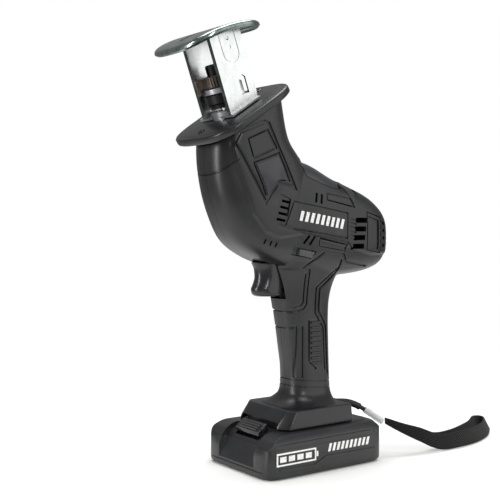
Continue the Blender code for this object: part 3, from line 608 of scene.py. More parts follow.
def placing_tree(name):
    """Geometry Nodes: an object set on each vertex of the host, turned by its own attribute."""
    tree = bpy.data.node_groups.new(name, "GeometryNodeTree")
    tree.interface.new_socket("Geometry", in_out="INPUT", socket_type="NodeSocketGeometry")
    tree.interface.new_socket("Piece", in_out="INPUT", socket_type="NodeSocketObject")
    tree.interface.new_socket("Size", in_out="INPUT", socket_type="NodeSocketFloat")
    tree.interface.new_socket("Finish", in_out="INPUT", socket_type="NodeSocketMaterial")
    tree.interface.new_socket("Geometry", in_out="OUTPUT", socket_type="NodeSocketGeometry")
    inputs = add_node(tree, "NodeGroupInput").outputs
    piece = add_node(tree, "GeometryNodeObjectInfo", {"Object": inputs["Piece"]}).outputs["Geometry"]
    turn = add_node(tree, "GeometryNodeInputNamedAttribute", {"Name": "turn"}, data_type="FLOAT_VECTOR")
    turn = add_node(tree, "FunctionNodeEulerToRotation", {0: turn.outputs["Attribute"]}).outputs[0]
    placed = add_node(tree, "GeometryNodeInstanceOnPoints", {"Points": inputs["Geometry"], "Instance": piece,
                                                             "Rotation": turn, "Scale": inputs["Size"]})
    real = add_node(tree, "GeometryNodeRealizeInstances", {"Geometry": placed.outputs[0]}).outputs[0]
    coated = add_node(tree, "GeometryNodeSetMaterial", {"Geometry": real, "Material": inputs["Finish"]})
    out = tree.nodes.new("NodeGroupOutput")
    tree.links.new(coated.outputs[0], out.inputs["Geometry"])
    return tree


placing = placing_tree("set_on_places")


def set_on(name, piece, places, paint, size=1.0):
    """Set copies of a piece on (point in mm, turn) places, as one plain mesh."""
    mesh = bpy.data.meshes.new(name)
    mesh.from_pydata([Vector(point) * MM for point, _ in places], [], [])
    turns = mesh.attributes.new("turn", "FLOAT_VECTOR", "POINT")
    turns.data.foreach_set("vector", [angle for _, turn in places for angle in turn])
    item = linked(name, mesh)
    step = item.modifiers.new("set", "NODES")
    step.node_group = placing
    values = {"Piece": piece, "Size": size, "Finish": paint}
    for socket in placing.interface.items_tree:
        if socket.in_out == "INPUT" and socket.name in values:
            step[socket.identifier] = values[socket.name]
    settle(item)
    bpy.data.objects.remove(piece)
    return item


grip_places = []
for side in (-1, 1):
    for k in range(GRIP_RIBS):
        start = Vector((RIB_FIRST[0], side * 60.0, RIB_FIRST[1] + RIB_PITCH * k)) * MM
        found = body.ray_cast(start, Vector((0.0, -side, 0.0)))
        grip_places.append((found[1] / MM, (math.pi / 2 if side > 0 else -math.pi / 2, 0.0, 0.0)))
bpy.data.objects.remove(body)
# The bar lies along X, rounded at its ends
bar = [[(x, 1.05 * r * math.cos(t), 0.95 * r * math.sin(t)) for t in np.arange(12) * math.pi / 6]
       for x, r in ((-5.0, 0.5), (-4.6, 0.95), (-4.0, 1.0), (4.0, 1.0), (4.6, 0.95), (5.0, 0.5))]
ribs = set_on("grip_ribs", loft("rib", bar), grip_places, nylon)
finished(ribs, nylon)

# ---------------------------------------------------------------------------------------------
# Screws. Pan-head thread-forming steel screws with a six-lobe socket, seven through the right
# half's recesses and two, in black zinc, down through the guard. The ribs' tree sets them.
# ---------------------------------------------------------------------------------------------


def metal(name, colour, lift, roughness, grain=(1.0, 1.0, 1.0), scale=900.0, depth=0.12, mottle=0.5):
    """Metal with a drawn, ground or cast surface: grain stretches the marks along one axis.

    scale is the number of marks to the metre, depth their strength and mottle the share of lift.
    """
    made, tree, shader = new_material(name, Metallic=1.0)
    place = add_node(tree, "ShaderNodeTexCoord").outputs["Object"]
    drawn = add_node(tree, "ShaderNodeMapping", {"Vector": place, "Scale": grain}).outputs[0]
    marks = add_node(tree, "ShaderNodeTexNoise", {"Vector": drawn, "Scale": scale,
                                                  "Detail": 5.0}).outputs["Fac"]
    cloud = add_node(tree, "ShaderNodeTexNoise", {"Vector": place, "Scale": 65.0,
                                                  "Detail": 6.0}).outputs["Fac"]
    tint = blend_colours(tree, ramp(tree, cloud, 0.0, mottle, 0.4, 0.62), linear(colour), linear(lift))
    tree.links.new(tint, shader.inputs["Base Color"])
    spread = add_node(tree, "ShaderNodeMath", {0: ramp(tree, marks, -0.07, 0.09),
                                               1: ramp(tree, cloud, -0.05, 0.05)})
    rough = add_node(tree, "ShaderNodeMath", {0: spread.outputs[0], 1: roughness})
    tree.links.new(rough.outputs[0], shader.inputs["Roughness"])
    bump = add_node(tree, "ShaderNodeBump", {"Height": marks, "Strength": depth, "Distance": 0.05 * MM})
    tree.links.new(bump.outputs[0], shader.inputs["Normal"])
    return made


# Bright steel, turned or ground: a cool mid grey with fine round marks
steel = metal("ground_bright_steel", "#9C9EA1", "#BFC1C4", 0.3, (1.0, 1.0, 9.0))


def spun(name, profile, steps, matrix=Matrix()):
    """A turned solid about Z from (radius, height) points, closed on the axis or into a ring."""
    shape = bmesh.new()
    verts = [shape.verts.new((r * MM, 0.0, z * MM)) for r, z in profile]
    for one, two in zip(verts, verts[1:]):
        shape.edges.new((one, two))
    if profile[0][0] > 0:
        shape.edges.new((verts[-1], verts[0]))
    bmesh.ops.spin(shape, geom=shape.verts[:] + shape.edges[:], cent=(0, 0, 0), axis=(0, 0, 1),
                   angle=2 * math.pi, steps=steps, use_merge=True)
    bmesh.ops.remove_doubles(shape, verts=shape.verts, dist=1e-7)
    placed = Matrix.Translation(matrix.translation * MM) @ matrix.to_3x3().to_4x4()
    bmesh.ops.transform(shape, matrix=placed, verts=shape.verts)
    return from_bmesh(name, shape)


def screw_form():
    """One screw along Z with its head's underside at 0: shank, pan head and six-lobe socket."""
    profile = [(0.0, 2.2), (1.7, 2.2), (2.5, 1.9), (2.85, 1.2), (2.85, 0.0), (1.5, -0.1), (1.5, -9.0),
               (0.0, -9.6)]
    item = spun("screw_form", profile, 24)
    lobes = [(1.15 + 0.28 * math.cos(6 * t), t) for t in np.arange(24) * math.pi / 12]
    rings = [[(r * math.cos(t), r * math.sin(t), z) for r, t in lobes] for z in (0.8, 4.0)]
    socket = loft("socket", rings)
    return carve(item, "DIFFERENCE", socket)


places = [((x, 8.3, z), (-math.pi / 2, 0.0, 0.4 * k)) for k, (x, z) in enumerate(SCREWS)]
screws = finished(set_on("housing_screws", screw_form(), places, steel), steel)
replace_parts(screws, *[f"housing_screw_{k}" for k in range(1, 8)])
# How far forward and back of the guard's middle its two screws are
GUARD_SCREWS = (-33.0, 34.0)
places = [(guard_frame @ Vector((x, 0.0, -1.1)), (0.0, -GUARD_TILT, 0.3)) for x in GUARD_SCREWS]
# Black zinc plate over the same turned steel: dark, with a satin sheen
black_zinc = metal("black_zinc_screw_steel", "#3A3A3C", "#55565A", 0.35, (1.0, 1.0, 9.0))
screws = finished(set_on("guard_screws", screw_form(), places, black_zinc), black_zinc)
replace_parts(screws, "guard_screw_1", "guard_screw_2")

# ---------------------------------------------------------------------------------------------
# Nose guard. One moulding in the same nylon: a rounded flange that keeps the hand off the blade,
# a shallow raised table on top, and a hollow neck that plugs into the nose.
# ---------------------------------------------------------------------------------------------
CRANK = Vector((-42.3, 0.0, 217.0))
NOSE_TILT = math.radians(19.5)
PLUNGER_BORE = 13.1
# Height over the table, half length, half width and squareness of each ring of the flange
GUARD_LEVELS = [
    (-10.2, 35.0, 27.6, 2.8), (-9.9, 35.6, 28.4, 2.8), (-9.3, 36.8, 30.4, 2.9), (-8.4, 38.8, 34.2, 3.1),
    (-7.5, 41.0, 38.4, 3.3), (-6.7, 42.8, 41.4, 3.5), (-5.9, 43.7, 42.7, 3.6), (-5.0, 44.0, 43.0, 3.6),
    (-1.9, 44.0, 43.0, 3.6), (-1.1, 43.7, 42.7, 3.6), (-0.5, 43.0, 42.0, 3.6), (-0.3, 41.8, 40.8, 3.6),
    (-0.5, 40.6, 39.6, 3.5), (-0.15, 39.5, 38.5, 3.4), (0.0, 38.8, 37.8, 3.3), (0.0, 20.0, 19.0, 3.0),
]
rings = [[(a, b, z) for a, b in superellipse(u, v, power, 96)] for z, u, v, power in GUARD_LEVELS]
guard = loft("nose_guard_form", rings, matrix=guard_frame)
nose_frame = Matrix.Translation(CRANK) @ Matrix.Rotation(-NOSE_TILT, 4, "Y")


def rod(name, radius, low, high, matrix, at=(0.0, 0.0), sides=48):
    """A round bar along the Z axis of a frame."""
    turns = [2 * math.pi * k / sides for k in range(sides)]
    ring = [(at[0] + radius * math.cos(t), at[1] + radius * math.sin(t)) for t in turns]
    return loft(name, [[(x, y, z) for x, y in ring] for z in (low, high)], matrix=matrix)


hollow = [[(a, b, z) for a, b in superellipse(32, 24.6, 2.8, 48)] for z in (-20, -3)]
carve(guard, "DIFFERENCE", loft("guard_hollow", hollow, matrix=guard_frame),
      rod("guard_bore", PLUNGER_BORE, 40, 110, nose_frame))
for x in GUARD_SCREWS:
    carve(guard, "DIFFERENCE", rod("guard_hole", SCREW_HOLE, -8.4, 6, guard_frame, (x, 0), 20))
    carve(guard, "DIFFERENCE", rod("guard_sink", 3.3, -1.4, 6, guard_frame, (x, 0), 32))
finished(guard, nylon, sharp=40)
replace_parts(guard, "nose_guard")

# ---------------------------------------------------------------------------------------------
# Shoe bracket. A U pressed from 1.8 mm steel, bright zinc plated: its base strip is screwed down
# on the guard and its two walls carry the shoe. Each wall has a pierced window with a bent tab,
# and the outline of the shoe's ear, spot welded inside its top edge.
# ---------------------------------------------------------------------------------------------
SHEET = 1.8
WALL_OUT = 20.5
SHOE_RADIUS = 120.0
SHOE_TOP = 146.2
# The walls' front and rear edges, across the plunger's axis, and their outlines in its frame
FRONT, REAR = -11.4, 18.7
WINDOW = [(4, 91), (11.5, 91), (11.5, 104), (9.5, 106), (4, 106)]
TAB_BEND = [(4.8, 89.6), (9.6, 89.6), (9.6, 91.2), (4.8, 91.2)]
TAB_LEAF = [(4.8, 90.0), (9.6, 90.0), (9.6, 101.5), (8.6, 102.5), (4.8, 102.5)]


def zinc_paint(name, colour, lift, roughness):
    """Bright zinc plate on rolled sheet: pale, faintly green, with soft spangle and drawn lines."""
    made, tree, shader = new_material(name, Metallic=1.0)
    place = add_node(tree, "ShaderNodeTexCoord").outputs["Object"]
    rolled = add_node(tree, "ShaderNodeMapping", {"Vector": place, "Rotation": (0.0, NOSE_TILT, 0.0),
                                                  "Scale": (1.0, 1.0, 0.06)}).outputs[0]
    streak = add_node(tree, "ShaderNodeTexNoise", {"Vector": rolled, "Scale": 420.0,
                                                   "Detail": 6.0}).outputs["Fac"]
    cloud = add_node(tree, "ShaderNodeTexNoise", {"Vector": place, "Scale": 120.0, "Detail": 7.0,
                                                  "Roughness": 0.7}).outputs["Fac"]
    spangle = add_node(tree, "ShaderNodeTexVoronoi", {"Vector": place, "Scale": 420.0}).outputs["Color"]
    tint = blend_colours(tree, ramp(tree, cloud, 0.0, 1.0, 0.38, 0.62), linear(colour), linear(lift))
    tint = blend_colours(tree, ramp(tree, spangle, 0.0, 0.1), tint, linear("#7C8480"))
    tree.links.new(tint, shader.inputs["Base Color"])
    dull = ramp(tree, cloud, roughness - 0.04, roughness + 0.05, 0.35, 0.65)
    rough = add_node(tree, "ShaderNodeMath", {0: ramp(tree, streak, -0.04, 0.05, 0.3, 0.7), 1: dull})
    tree.links.new(rough.outputs[0], shader.inputs["Roughness"])
    bump = add_node(tree, "ShaderNodeBump", {"Height": streak, "Strength": 0.12, "Distance": 0.02 * MM})
    tree.links.new(bump.outputs[0], shader.inputs["Normal"])
    return made


# Pale bright zinc on the rolled faces; the sheared edges take a dark green-grey that is partly their thinner
# zinc and partly painted shade, darkening the window's edges and the walls' edge faces
bracket_zinc = zinc_paint("bright_zinc_plated_sheet", "#D9DDDB", "#EBEDEC", 0.3)
edge_zinc_and_painted_shade = zinc_paint("sheared_edge_of_plated_sheet_and_painted_shade", "#3F4A47", "#66716D", 0.3)


def shoe_level(x, radius):
    """Height along the plunger's axis of the bowed shoe, at x across that axis."""
    return SHOE_TOP - SHOE_RADIUS + math.sqrt(radius ** 2 - x ** 2)


def guard_level(x):
    """Height along the plunger's axis of the guard's table, at x across that axis."""
    start = nose_frame.inverted() @ GUARD_CENTRE
    return start.z + (x - start.x) * math.tan(GUARD_TILT - NOSE_TILT)


def transformed(item, matrix):
    """Place an object's mesh by a frame whose place is in mm."""
    item.data.transform(Matrix.Translation(matrix.translation * MM) @ matrix.to_3x3().to_4x4())
    return item


def wall_plate(name, outline, low, high):
    """A plate across the nose's frame, from an (x, z) outline in it."""
    return prism(name, outline, low, high, nose_frame)


bracket = block("shoe_bracket_form", (-14.5, -24.0, 0.9), (16.5, 24.0, 0.9 + SHEET), guard_frame)
under = SHOE_RADIUS - SHEET - 0.7
outline = [(FRONT, guard_level(FRONT) + 1.6), (REAR, guard_level(REAR) + 1.6)]
outline += [(x, shoe_level(x, under)) for x in np.linspace(REAR, FRONT, 16)]
walls = []
for side in (-1, 1):
    low, high = sorted((side * WALL_OUT, side * (WALL_OUT - SHEET)))
    walls.append(wall_plate("wall", outline, low, high))
carve(bracket, "UNION", *walls)
carve(bracket, "DIFFERENCE", rod("bracket_bore", PLUNGER_BORE, 60, 95, nose_frame),
      wall_plate("window", WINDOW, -30, 30))
for side in (-1, 1):
    low, high = sorted((side * (WALL_OUT - 0.35), side * 30))
    ear = [(7.5 * math.cos(t) + 4.5, 124.5 + 7.5 * math.sin(t)) for t in np.linspace(0, -math.pi, 13)]
    ear = [(12.0, 143)] + ear + [(-3.0, 143)]
    carve(bracket, "DIFFERENCE", transformed(groove("ear", ear, 0.9, False, low, high), nose_frame))
    for z in (129.0, 136.0):
        weld = post("weld", 1.6, low, high, 4.5, z, 20)
        carve(bracket, "DIFFERENCE", transformed(weld, nose_frame))
    low, high = sorted((side * (WALL_OUT - 4.6), side * (WALL_OUT - 0.6)))
    carve(bracket, "UNION", wall_plate("tab_bend", TAB_BEND, low, high))
    low, high = sorted((side * (WALL_OUT - 4.6), side * (WALL_OUT - 3.4)))
    carve(bracket, "UNION", wall_plate("tab_leaf", TAB_LEAF, low, high))
    low, high = sorted((side * (WALL_OUT - 4.2), side * (WALL_OUT - 0.2)))
    lip = [(FRONT, guard_level(FRONT) + 5), (FRONT + 1.3, guard_level(FRONT) + 5),
           (FRONT + 1.3, shoe_level(FRONT, under) - 4), (FRONT, shoe_level(FRONT, under) - 4)]
    carve(bracket, "UNION", wall_plate("lip", lip, low, high))
rounded(bracket, 0.3, 2, 50)
finished(bracket, bracket_zinc)
bracket.data.materials.append(edge_zinc_and_painted_shade)
# The walls' own edges, above the base strip, take the sheared finish, whose dark colour is partly painted
# shade
to_guard = guard_frame.inverted()
for face in bracket.data.polygons:
    above = (to_guard @ (face.center / MM)).z > 3.0
    if above and abs(face.normal.y) < 0.75 and abs(face.center.y / MM) > 15.0:
        face.material_index = 1
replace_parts(bracket, "shoe_bracket")

# ---------------------------------------------------------------------------------------------
# Shoe. Pressed and bowed steel plate that rests on the work, zinc plated and greener than the
# bracket, with a turned-down rim and a slot for the blade.
# ---------------------------------------------------------------------------------------------
HALF_LONG, HALF_WIDE = 38.0, 39.6
# Share of the shoe's half sizes, and drop in mm, of each ring from its crown to its rim
RIM = [(0.05, 0.0), (0.3, 0.0), (0.55, 0.0), (0.75, 0.0), (0.88, 0.0), (0.94, 0.1), (0.97, 0.4),
       (0.99, 1.0), (1.0, 1.9), (1.0, 3.2)]
# Zinc with a clear passivate: a deeper, greener grey than the bracket's, and shinier
shoe_zinc = zinc_paint("passivated_zinc_plated_shoe", "#6F7B78", "#98A3A0", 0.2)
rings = []
for scale, drop, trim in [(*row, 0.0) for row in RIM] + [(*row, SHEET) for row in reversed(RIM)]:
    edge = trim if scale > 0.96 else 0.0
    outline = superellipse(HALF_LONG * scale - edge, HALF_WIDE * scale - edge, 3.1, 96)
    rings.append([(a, b, shoe_level(a, SHOE_RADIUS - trim) - drop) for a, b in outline])
shoe = loft("shoe_plate_form", rings, matrix=nose_frame)
# The blade's slot, with a half circle at each end
slot_line = []
for x, start in ((-20.5, math.pi / 2), (4.5, -math.pi / 2)):
    for t in np.linspace(start, start + math.pi, 9):
        slot_line.append((x + 3.5 * math.cos(t), 3.5 * math.sin(t)))
rings = [[(x, y, z) for x, y in slot_line] for z in (130, 160)]
carve(shoe, "DIFFERENCE", loft("blade_slot", rings, matrix=nose_frame))
finished(shoe, shoe_zinc, sharp=45)
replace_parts(shoe, "shoe_plate")

# ---------------------------------------------------------------------------------------------
# Plunger and blade clamp. A ground steel plunger runs in the nose ring. The clamp is a turned,
# blackened body slotted for the blade, with a bright ring, and a ribbed collar with a lever that
# the user twists to let the blade go. The ribs are set round it by the same tree as the screws.
# ---------------------------------------------------------------------------------------------
LEVER_TURN = 145
COLLAR_RIBS = 36
# Turned steel blackened in hot oxide; and phosphated steel, brown-grey with a fine dull grain
black_oxide = metal("black_oxide_turned_steel", "#232324", "#3B3A39", 0.36, (1.0, 1.0, 12.0))
collar_steel = metal("phosphated_brown_grey_steel", "#4C443E", "#7A7069", 0.38, scale=1500.0, depth=0.3)
profile = [(5.6, 63.5), (12.8, 63.5), (12.8, 82.2), (12.2, 82.9), (6.6, 82.9), (5.6, 82.2)]
ring = finished(spun("nose_ring_form", profile, 72, nose_frame), steel)
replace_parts(ring, "nose_ring")
profile = [(0, 119.5), (6.7, 119.5), (7.7, 118.5), (7.7, 96.5), (14, 96.5), (14.5, 96), (14.5, 89.4),
           (14.1, 88.9), (12.4, 88.2), (12.4, 85.6), (12, 85.2), (5.5, 85.2), (5.5, 94.2), (0, 94.2)]
clamp = spun("clamp_body_form", profile, 72, nose_frame)
carve(clamp, "DIFFERENCE", block("blade_seat", (-9, -0.9, 101), (9, 0.9, 130), nose_frame))
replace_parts(finished(clamp, black_oxide, "plunger"), "clamp_body")
profile = [(8, 96.9), (14.2, 96.9), (14.6, 97.3), (14.6, 101.1), (14.2, 101.5), (8, 101.5)]
ring = spun("clamp_ring_form", profile, 72, nose_frame)
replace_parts(finished(ring, steel, "plunger"), "clamp_ring")
profile = [(8, 101.8), (12.6, 101.8), (13.1, 102.3), (13.1, 110.3), (12.4, 111), (8, 111)]
collar = spun("clamp_collar_form", profile, 72)
turned = Matrix.Rotation(math.radians(LEVER_TURN), 4, "Z")
carve(collar, "UNION", rounded(block("lever_root", (12, -5, 102.2), (17, 5, 110.7), turned), 0.6, 2))
carve(collar, "UNION", rounded(block("lever_tab", (15.1, -5, 97.5), (19, 5, 110.7), turned), 1.2, 3))
transformed(collar, nose_frame)
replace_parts(finished(collar, collar_steel, "clamp_collar"), "clamp_collar")
rib_ring = [(-0.7, -0.2), (0.0, 0.75), (0.7, -0.2)]
rib = loft("rib", [[(y, x, z) for x, y in rib_ring] for z in (-3.9, 3.9)])
places = []
for k in range(COLLAR_RIBS):
    angle = 2 * math.pi * k / COLLAR_RIBS
    if abs(math.degrees(angle) - LEVER_TURN) > 22:
        places.append(((13.05 * math.cos(angle), 13.05 * math.sin(angle), 106.3), (0.0, 0.0, angle)))
ribs = transformed(set_on("clamp_collar_ribs", rib, places, collar_steel), nose_frame)
finished(ribs, collar_steel, "clamp_collar")


def coat(paint, *nodes):
    """Give CAD nodes that keep their shape a finished material."""
    for node in nodes:
        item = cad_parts[node]
        for place in item.material_slots:
            place.material = paint


coat(steel, "plunger_shaft")

# ---------------------------------------------------------------------------------------------
# Drive. A die-cast frame holds bronze guides, the crank gear on its bearing and the motor: a
# steel can with two ferrite magnets, a wound armature, a fan and a cap with the brushes.
# ---------------------------------------------------------------------------------------------
# Die-cast aluminium, grey with a coarse flow; sintered bronze, oiled; case-hardened gear steel;
# and zinc plate on the motor's rolled can
cast = metal("die_cast_aluminium", "#8D9093", "#B4B6B8", 0.48, scale=500.0, depth=0.35)
sintered = metal("sintered_bronze", "#8A5E2C", "#A87838", 0.45, scale=2200.0, depth=0.4)
gear_steel = metal("hardened_gear_steel", "#6E6F72", "#8C8D90", 0.35, (9.0, 1.0, 1.0))
plated = metal("zinc_plated_motor_can", "#A8ADAB", "#C9CDCB", 0.33, (1.0, 14.0, 1.0))
# Ferrite, a pressed dark ceramic; and enamelled copper over stacked electrical steel
ferrite = moulded("pressed_ferrite_magnet", "#232325", "#343437", 0.6, 0.3, 0.5)
copper = metal("enamelled_copper_winding", "#9A4A22", "#C0703A", 0.3, (1.0, 30.0, 1.0), 700.0, 0.6)
coat(cast, "gear_frame", "motor_mount")
coat(sintered, "front_bushing", "rear_guide")
coat(steel, "crank_bearing", "crank_pin", "motor_pinion")
coat(gear_steel, "crank_gear")
coat(plated, "motor_can")
coat(ferrite, "magnet_left", "magnet_right")
coat(copper, "armature", "motor_brush_left", "motor_brush_right")
coat(nylon, "motor_end_cap", "cooling_fan")

# ---------------------------------------------------------------------------------------------
# Trigger and switch. The trigger is a smooth nylon moulding, round at the front, whose stem
# pushes the variable speed switch; the green board beside it drives the motor.
# ---------------------------------------------------------------------------------------------
# The trigger's front and rear faces, as (height, X)
TRIGGER_FRONT = [(142.2, -38.8), (143.0, -41.6), (144.6, -43.2), (148.2, -44.0), (151.0, -42.8),
                 (153.6, -41.6), (157.0, -40.5), (160, -40.4), (163.5, -40.8), (166, -41.4),
                 (169.0, -43.0), (170.5, -43.8)]
TRIGGER_REAR = [(142.2, -24.0), (143.0, -21.0), (144.6, -20.2), (158, -18.4), (169.0, -18.6), (170.5, -20.0)]
rear_z, rear_x = zip(*TRIGGER_REAR)
rings = []
for z, front in bent(TRIGGER_FRONT, 3):
    rear = np.interp(z, rear_z, rear_x)
    half = 10.0 - 1.6 * max(0.0, 1 - (z - 142.2) / 1.6) ** 2 - 1.0 * max(0.0, (z - 169.5)) ** 2
    nose = [(front + 12.5 * (1 - math.cos(t)), half * math.sin(t))
            for t in np.linspace(-math.pi / 2, math.pi / 2, 25)]
    ring = nose + [(rear - 1.5, half), (rear, half - 1.2), (rear, 1.2 - half), (rear - 1.5, -half)]
    rings.append([(x, y, z) for x, y in ring])
trigger = loft("trigger_form", rings)
carve(trigger, "UNION", block("trigger_stem", (-24, -4, 146.3), (-4, 4, 154.3)))
# Nylon from a polished mould: nearly smooth, with a brighter, tighter highlight
semi_gloss = moulded("moulded_nylon_semi_gloss_trigger", "#141517", "#1B1C1E", 0.22, 0.9, 0.04)
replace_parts(finished(trigger, semi_gloss, "trigger", 50), "trigger")
# Green solder mask over glass and epoxy, and a plain black switch housing
board = moulded("glass_epoxy_circuit_board", "#0F4A26", "#17602F", 0.35, 0.4, 0.3)
switch_nylon = moulded("moulded_switch_housing", "#1B1B1D", "#29292B", 0.5)
coat(switch_nylon, "switch_body", "terminal_block")
coat(board, "control_board")
coat(steel, "trigger_spring")
coat(sintered, "terminal_blade_left", "terminal_blade_right")

# ---------------------------------------------------------------------------------------------
# Lock-off bar. A grey nylon slide across the grip, pushed from either side to free the trigger,
# with raked ends and small grip ribs set on them.
# ---------------------------------------------------------------------------------------------
PAD = [(-14.6, 181.6), (1.6, 178.9), (-2.2, 173.9), (-15.2, 176.7)]
# The same nylon in mid grey, with a finer grain
grey_nylon = moulded("moulded_nylon_grey_slide", "#3A3B3D", "#47484A", 0.42, 0.8, 0.1)
lock = rounded(prism("lock_off_form", PAD, -25.9, 22.6), 0.5, 2)
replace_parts(finished(lock, grey_nylon, "lock_off"), "lock_off_bar")
rib = loft("rib", [[(0.0, 0.0, z), (0.45, 0.0, z), (0.9, 0.0, z), (0.45, 0.35, z)] for z in (-1.6, 1.6)])
places = []
for y, turn in ((-25.75, math.pi), (22.45, 0.0)):
    places += [((-12.6 + 3.2 * k, y, 178.7 - 0.6 * k), (turn, 0.0, 0.0)) for k in range(4)]
finished(set_on("lock_off_ribs", rib, places, grey_nylon), grey_nylon, "lock_off")

# ---------------------------------------------------------------------------------------------
# Battery. Two nylon case halves with a stepped panel on each long side, a raked front, and a
# T-shaped tongue with two contact slots that slides into the foot; five welded cells inside.
# ---------------------------------------------------------------------------------------------
FRONT_X, REAR_X, HALF_Y = -61.0, 62.6, 45.0
ARC = [(-40.5 - 20.6 * math.cos(t), 14.1 + 20.6 * math.sin(t)) for t in np.linspace(0, math.pi / 2, 14)]
FRONT_ARC = [(-70, 14.1), *ARC, (-40.5, 45), (-70, 45)]
FRONT_SLOPE = [(-70, 8), (-60.9, 8), (-59.8, 9.4), (-51.0, 25.6), (-48.6, 28.4), (-41, 33.4), (-41, 45),
               (-70, 45)]
# The stepped line along each long side, and the flat sunk under it
STEP_LINE = [(-49.8, 9.1), (-13.7, 8.2), (-2.7, 13.6), (51.0, 13.0)]
SUNK_FLAT = [(-70, 6.6), (-49, 6.0), (-13, 5.6), (-2, 10.6), (70, 10.2), (70, -5), (-70, -5)]
# How far the ink reaches into the case and stands off it
INK_DEPTH, INK_RISE = 0.1125, 0.099


def case(name, levels, front=FRONT_X):
    """A case half: squared rings at (height, inset) levels."""
    rings = []
    for z, inset in levels:
        outline = superellipse((REAR_X - front) / 2 - inset, HALF_Y - inset, 11.0, 120)
        rings.append([((REAR_X + front) / 2 + a, b, z) for a, b in outline])
    return loft(name, rings)


# The cases share the housing's resin with a finer, shinier grain
smooth_nylon = moulded("moulded_nylon_fine_grain_case", "#17181A", "#202123", 0.34, 0.7, 0.12)
lower = case("battery_lower_form", [(0.0, 3.3), (0.5, 1.9), (1.4, 0.8), (2.4, 0.2), (3.6, 0.0), (24.15, 0.0)])
carve(lower, "DIFFERENCE", case("lower_hollow", [(2.4, 3.6), (4.5, 2.3), (30.0, 2.3)], -51.6))
for low, high in ((-60.0, -44.2), (44.2, 60.0)):
    carve(lower, "DIFFERENCE", groove("line", STEP_LINE, 1.0, False, low, high))
for low, high in ((-60.0, -44.6), (44.6, 60.0)):
    carve(lower, "DIFFERENCE", prism("sunk", SUNK_FLAT, low, high))
front_line = [(-70, 5.4), (-60.3, 5.4), (-60.3, 6.3), (-70, 6.3)]
heel = [(57.0, -1), (70, -1), (70, 20), (63.4, 12)]
carve(lower, "DIFFERENCE", prism("front_line", front_line), prism("front_arc", FRONT_ARC),
      prism("front_slope", FRONT_SLOPE, -24.6, 24.6), prism("heel", heel))
rounded(lower, 0.25, 2, 40)
finished(lower, smooth_nylon, "battery")
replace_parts(lower, "battery_lower_case")
levels = [(24.3, 0.0), (28.9, 0.1), (29.8, 0.6), (33.6, 4.0), (34.3, 5.0), (34.6, 6.4)]
upper = case("battery_upper_form", levels)
carve(upper, "DIFFERENCE", case("upper_hollow", [(10.0, 2.4), (29.0, 2.4), (32.0, 6.5)], -36.0))
carve(upper, "DIFFERENCE", prism("front_arc", FRONT_ARC), prism("front_slope", FRONT_SLOPE, -24.6, 24.6))
carve(upper, "UNION", block("tongue_neck", (-33, -22, 33), (28, 22, 37.6)))
carve(upper, "UNION", rounded(block("tongue_head", (-33, -25, 37.4), (28, 25, 40.2)), 0.5, 2))
for side in (-8, 8):
    carve(upper, "DIFFERENCE", block("terminal_slot", (-5, side - 1.2, 35.6), (40, side + 1.2, 50)))
carve(upper, "DIFFERENCE", block("button_pocket", (-50, -16.4, 26.4), (-39.9, 16.4, 50)))
for low, high in ((-60.0, -44.2), (44.2, 60.0)):
    carve(upper, "DIFFERENCE", groove("line", [(-53.6, 28.0), (51, 28.4)], 0.7, False, low, high),
          block("rear_slot", (49, low, 25.4), (51, high, 31.0)))
rounded(upper, 0.3, 2, 40)
finished(upper, smooth_nylon, "battery")
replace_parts(upper, "battery_upper_case")


def printed(name, outlines, side):
    """Ink on the case's flat side, at -1 or 1, about a tenth of a millimetre proud."""
    low, high = sorted((side * (HALF_Y - INK_DEPTH), side * (HALF_Y + INK_RISE)))
    patches = [prism("patch", outline, low, high) for outline in outlines]
    carve(patches[0], "UNION", *patches[1:])
    patches[0].name = name
    finished(patches[0], white_ink, "battery")


def label_marks(flip):
    """Generic marks: a cell outline with four charge bars, then a row of raked bars."""
    boxes = [(-53, 11.2, -51.6, 21.6), (-53, 11.2, -13, 12.5), (-53, 20.3, -13, 21.6),
             (-14.4, 11.2, -13, 21.6), (-12.6, 14.2, -10.8, 18.6)]
    boxes += [(-49.6 + 8.6 * k, 14.2, -43.4 + 8.6 * k, 18.6) for k in range(4)]
    marks = [[(x0, z0), (x1, z0), (x1, z1), (x0, z1)] for x0, z0, x1, z1 in boxes]
    for k in range(10):
        x = -0.5 + 4.6 * k
        marks.append([(x, 16.4), (x + 2.6, 16.4), (x + 4.4, 22.8), (x + 1.8, 22.8)])
    return [[(-x if flip else x, z) for x, z in outline] for outline in marks]


printed("battery_print_left", label_marks(False), -1)
printed("battery_print_right", label_marks(True), 1)
# Teal shrink sleeve over the steel cells: smooth, thin and glossy
wrap = moulded("shrink_sleeve_cell_wrap", "#0E4A5C", "#156074", 0.3, 0.5, 0.1)
coat(wrap, *[f"battery_cell_{k}" for k in range(1, 6)])
coat(plated, "cell_link")

# ---------------------------------------------------------------------------------------------
# Release button. A nylon slide in the battery's raked front, pressed to let the pack go, with
# finger ribs set across its face.
# ---------------------------------------------------------------------------------------------
outline = [(-49.7, 29.7), (-49.7, 33.6), (-45.6, 36.6), (-43.4, 38.6), (-42.0, 39.0), (-40.2, 39.0),
           (-40.2, 29.7)]
button = rounded(prism("release_button_form", outline, -16, 16), 0.7, 3)
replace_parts(finished(button, semi_gloss, "release_button"), "release_button")
rib = loft("rib", [[(-0.7, y, 0.0), (0.0, y, 0.8), (0.7, y, 0.0), (0.0, y, -0.6)] for y in (-12.0, 12.0)])
places = [((-48.8 + 1.9 * k, 0.0, 34.4 + 1.4 * k), (0.0, -0.63, 0.0)) for k in range(4)]
finished(set_on("release_button_ribs", rib, places, semi_gloss), semi_gloss, "release_button")

